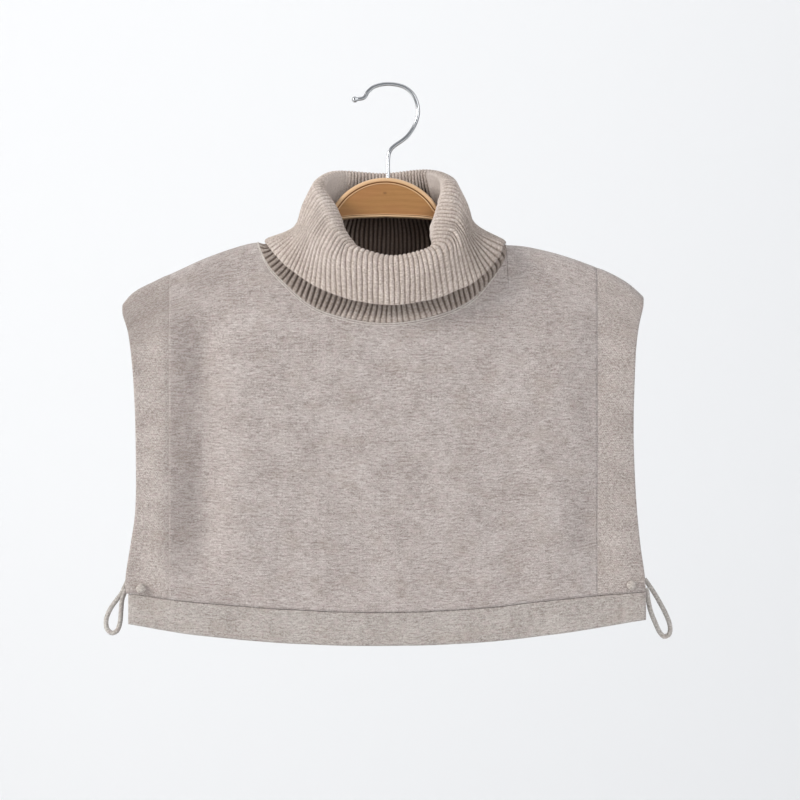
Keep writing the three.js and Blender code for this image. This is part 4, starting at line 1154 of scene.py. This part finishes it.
def hanger_outline():
    """Right half of the outline from the top, and how much of the frame's width each place has."""
    points = []
    for t in np.linspace(0, 1, 30):
        angle = math.pi / 2 - HUMP_HALF_ANGLE * t
        points.append((HUMP_RADIUS * math.cos(angle),
                       HUMP_TOP + HUMP_RADIUS * (math.sin(angle) - 1)))
    top_out = np.linspace(ARM_START, ARM_END, 56)
    points += list(zip(top_out, read(ARM_TOP, top_out)))
    foot_out = np.array([x for x, _ in points])[::-1]
    foot_out[:3] = [171, 170, 168.5]
    for t in np.linspace(0.15, 0.85, 8):
        angle = math.pi / 2 - math.pi * t
        points.append((TIP_MIDDLE[0] + TIP_REACH * math.cos(angle),
                       TIP_MIDDLE[1] + TIP_RISE * math.sin(angle)))
    share = [1.0] * len(points)
    points += list(zip(foot_out, read(ARM_FOOT, foot_out)))
    points, share = np.array(points), np.array(share + [LOWER_SHARE] * len(foot_out))
    height = np.linalg.norm(points - points[::-1], axis=1)
    return points, share * np.clip(height / THIN_ARM, 0.2, 1)


half, frame_share = hanger_outline()
mirror = half[1:-1][::-1] * (-1, 1)
outline = np.concatenate([half, mirror])
frame_share = np.concatenate([frame_share, frame_share[1:-1][::-1]])
step = unit(np.roll(outline, -1, axis=0) - np.roll(outline, 1, axis=0))
inward = np.stack([step[:, 1], -step[:, 0]], axis=1)
for _ in range(3):
    inward = unit(inward + 0.5 * (np.roll(inward, 1, axis=0) + np.roll(inward, -1, axis=0)))
count = len(outline)
board_points, board_map = [], []
levels = [(way, -depth) for way, depth in FRAME[::-1]] + FRAME[1:]
for way, depth in levels:
    ring = outline + inward * (way * frame_share)[:, None]
    board_points += [(x + HANGER_MIDDLE, depth, z) for x, z in ring]
    board_map += [(x, z) for x, z in ring]
board_faces = grid_faces(len(levels), count, ring=True)
# Rungs from the upper to the lower line fill the front face and the back face
foot_middle = count // 2
for start in (0, (len(levels) - 1) * count):
    for at in range((foot_middle + 1) // 2):
        right = (at, at + 1, foot_middle - at - 1, foot_middle - at)
        for rung in (right, [(count - corner) % count for corner in right]):
            board_faces.append(tuple(dict.fromkeys(start + corner for corner in rung)))


def frame_shade(way):
    """How dark the stain lies: most in the groove, some on the sunken face. Below 0 it is pale."""
    groove = closeness(way, GROOVE_WAY, GROOVE_REACH)
    return groove * (1 - RIM_LIGHT) + (FACE_SHADE if way > FACE_WAY else RIM_LIGHT)


# The knot's place: x, z
KNOT = (-0.3, -86.8)


def wood(name):
    """Clear lacquered light wood with fine grain along the arms and a small knot."""
    finish = Finish(name)
    x, z = finish.place()
    bend = finish.noise(x * 0.012, z * 0.03, detail=2.0) * 9
    ring = ((z * 0.9 + bend + x * 0.02) * 1.6).sine() * 0.5 + 0.5
    grain = finish.noise(x * 0.05, z * 2.2, height=4.0, detail=4.0, rough=0.65)
    pore = finish.noise(x * 0.22, z * 5.0, height=9.0, detail=2.0, rough=0.7)
    tone = ring * 0.1 + grain * 0.6 + pore * 0.3
    ramp = [(0.3, linear("#a0713c")), (0.5, linear("#af7e47")), (0.7, linear("#be8b53"))]
    colour = finish.node("ShaderNodeValToRGB", {"stops": ramp}, {0: tone})
    warm = finish.blur_step(finish.noise(x * 0.03, z * 0.07, height=17.0, detail=2.0), 0.42, 0.62)
    colour = finish.mix(warm * 0.35, colour, linear("#b47a4c"))
    aside, rise = x - KNOT[0], (z - KNOT[1]) * 1.5
    knot = finish.blur_step((aside * aside + rise * rise) ** 0.5, 2.4, 0.5)
    colour = finish.mix(knot * 0.55, colour, linear("#6f4a26"))
    stain = finish.hollow()
    colour = finish.mix(stain.at_least(0.0), colour, finish.tinted(colour, "#634527"))
    # Below 0 the rim turns paler; along the lower edge part of it is a painted highlight
    colour = finish.mix((stain * -1).at_least(0.0), colour, linear("#ecc9a0"))
    finish.set(Base_Color=colour, Roughness=grain * 0.14 + 0.3, Coat_Weight=0.35,
               Coat_Roughness=0.18, Specular_IOR_Level=0.5)
    return finish.raise_by(pore * 0.6 + grain * 0.4, 0.05)


# The lower edge's rim gets a stronger pale mix: a painted highlight
paler = np.where(frame_share <= LOWER_SHARE, LIP_LIGHT, 1)
level_shade = np.array([frame_shade(way) for way, _ in levels])[:, None]
board_hollow = np.where(level_shade < 0, level_shade * paler, level_shade).ravel()
board = make_object("hanger_board", board_points, board_faces, wood("lacquered_wood"),
                    board_map, hollow=board_hollow)
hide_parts("hanger_body")

# %% [markdown]
# ## Steel hook
#
# The hook is one bent wire with a small ball at its tip, so it is a swept tube. The ball is part of
# the same skin: the tube's rings grow and shrink again at the end. Its lower end runs a little way
# into the wood.

# %% Hook
WIRE, WIRE_SIDES, WIRE_STEP = 3.2, 20, 1.2
TIP_BALL, BALL_SINK = 5.0, 0.9
HOOK_LINE = [
    (-0.8, -88), (-0.8, -73), (-0.4, -56), (2.5, -50), (14.1, -41.1), (20.9, -31), (23.4, -20),
    (20.4, -8.6), (12.4, -1), (0, 1.6), (-11, -0.2), (-17, -4.6), (-20, -9.4), (-26, -10.7),
]


def bright_steel(name):
    finish = Finish(name)
    u, v = finish.place()
    drawn = finish.noise(u * 1.4, v * 0.05, detail=3.0, rough=0.6)
    patch = finish.noise(u * 0.12, v * 0.08, height=5.0, detail=2.0)
    tint = finish.mix(patch, linear("#aaacae"), linear("#cbcdcf"))
    finish.set(Base_Color=tint, Metallic=1.0, Roughness=drawn * 0.14 + 0.16)
    return finish.raise_by(drawn, 0.02)


line, wire_length = even_line([(x, 0, z) for x, z in HOOK_LINE], WIRE_STEP)
print("hook wire is", round(wire_length, 1), "mm long")
tip_way = unit(line[-1] - line[-2])
ball_turns = np.linspace(0, math.pi, 13)[3:]
ball_line = [line[-1] + tip_way * (TIP_BALL / 2 * (1 - math.cos(turn)) - BALL_SINK)
             for turn in ball_turns]
ball_radius = [TIP_BALL / 2 * math.sin(turn) for turn in ball_turns[:-1]] + [0.05]
radius = np.concatenate([np.full(len(line) - 1, WIRE / 2), ball_radius])[:, None]
line = np.concatenate([line[:-1], ball_line])
rings = sweep(line, radius, WIRE_SIDES)
wire_map = [(at * math.pi * WIRE / WIRE_SIDES, ring * WIRE_STEP)
            for ring in range(len(line)) for at in range(WIRE_SIDES)]
hook = make_object("hanger_wire", rings.reshape(-1, 3), tube_faces(len(line), WIRE_SIDES),
                   bright_steel("bright_steel"), wire_map)
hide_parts("hanger_hook")

# %% [markdown]
# ## How much cloth each piece has
#
# Every knitted piece is a sheet of a real size: the panels are cut to the neckline, the collar is a
# tube folded down, and each band is one strip over the shoulder. The area of one face of each is
# printed.

# %% Sheets of cloth
def half_surface(piece):
    """Half of the closed surface, in square metres."""
    return sum(face.area for face in piece.data.polygons) / 2


for piece in (front_panel, back_panel, left_side_band, right_side_band, collar):
    print(piece.name, "one face is", round(half_surface(piece), 4), "square metres")

# %% [markdown]
# ## Studio
#
# The picture was taken against a white wall in soft light from the upper left. The floor is a pale
# sheet that curves up far behind the hanger, so no edge shows, and a pale world fills the shadows.
# A large lamp on the left gives the ribs their shaded sides. A broader and weaker one in front on
# the right keeps those sides soft, and a third one above lights the wall behind.

# %% Floor, world and lamps
# In metres: the floor's height, how far the wall is behind, the curve between them, half the width
FLOOR_HEIGHT, WALL_WAY, CURVE, SIDE_WAY = -1.25, 2.4, 0.8, 4.0
WORLD_TINT, WORLD_LIGHT = (0.93, 0.95, 1.0, 1), 0.38
floor_line = [(-4.0, FLOOR_HEIGHT)]
for turn in np.linspace(0, math.pi / 2, 16):
    floor_line.append((WALL_WAY - CURVE + CURVE * math.sin(turn),
                       FLOOR_HEIGHT + CURVE * (1 - math.cos(turn))))
floor_line.append((WALL_WAY, 3.0))
floor_mesh = bpy.data.meshes.new("floor")
floor_points = [(x, y, z) for y, z in floor_line for x in (-SIDE_WAY, SIDE_WAY)]
floor_mesh.from_pydata(floor_points, [], grid_faces(len(floor_line), 2))
floor_mesh.polygons.foreach_set("use_smooth", [True] * len(floor_mesh.polygons))
paper = Finish("pale_paper")
paper.set(Base_Color=linear("#f2f3f4"), Roughness=0.9, Specular_IOR_Level=0.2)
floor_mesh.materials.append(paper.material)
floor = bpy.data.objects.new("floor", floor_mesh)
bpy.context.scene.collection.objects.link(floor)

world = bpy.data.worlds.new("pale_world")
world.use_nodes = True
background = world.node_tree.nodes["Background"]
background.inputs[0].default_value, background.inputs[1].default_value = WORLD_TINT, WORLD_LIGHT
bpy.context.scene.world = world


def lamp(name, place, aim, size, power, tint=(1, 1, 1)):
    data = bpy.data.lights.new(name, "AREA")
    data.size = size
    data.energy = power
    data.color = tint
    made = bpy.data.objects.new(name, data)
    made.location = place
    made.rotation_euler = (Vector(aim) - Vector(place)).to_track_quat("-Z", "Y").to_euler()
    bpy.context.scene.collection.objects.link(made)
    return made


lamp("key", (-3.1, -1.5, 0.95), (0, 0, -0.25), 1.3, 104, (1, 0.98, 0.95))
lamp("fill", (2.1, -2.7, 0.8), (0, 0, -0.25), 2.0, 48)
lamp("wall_light", (0.1, 0.4, 2.2), (0.1, 2.4, 0), 2.2, 16)
bpy.context.scene.view_settings.view_transform = "Standard"
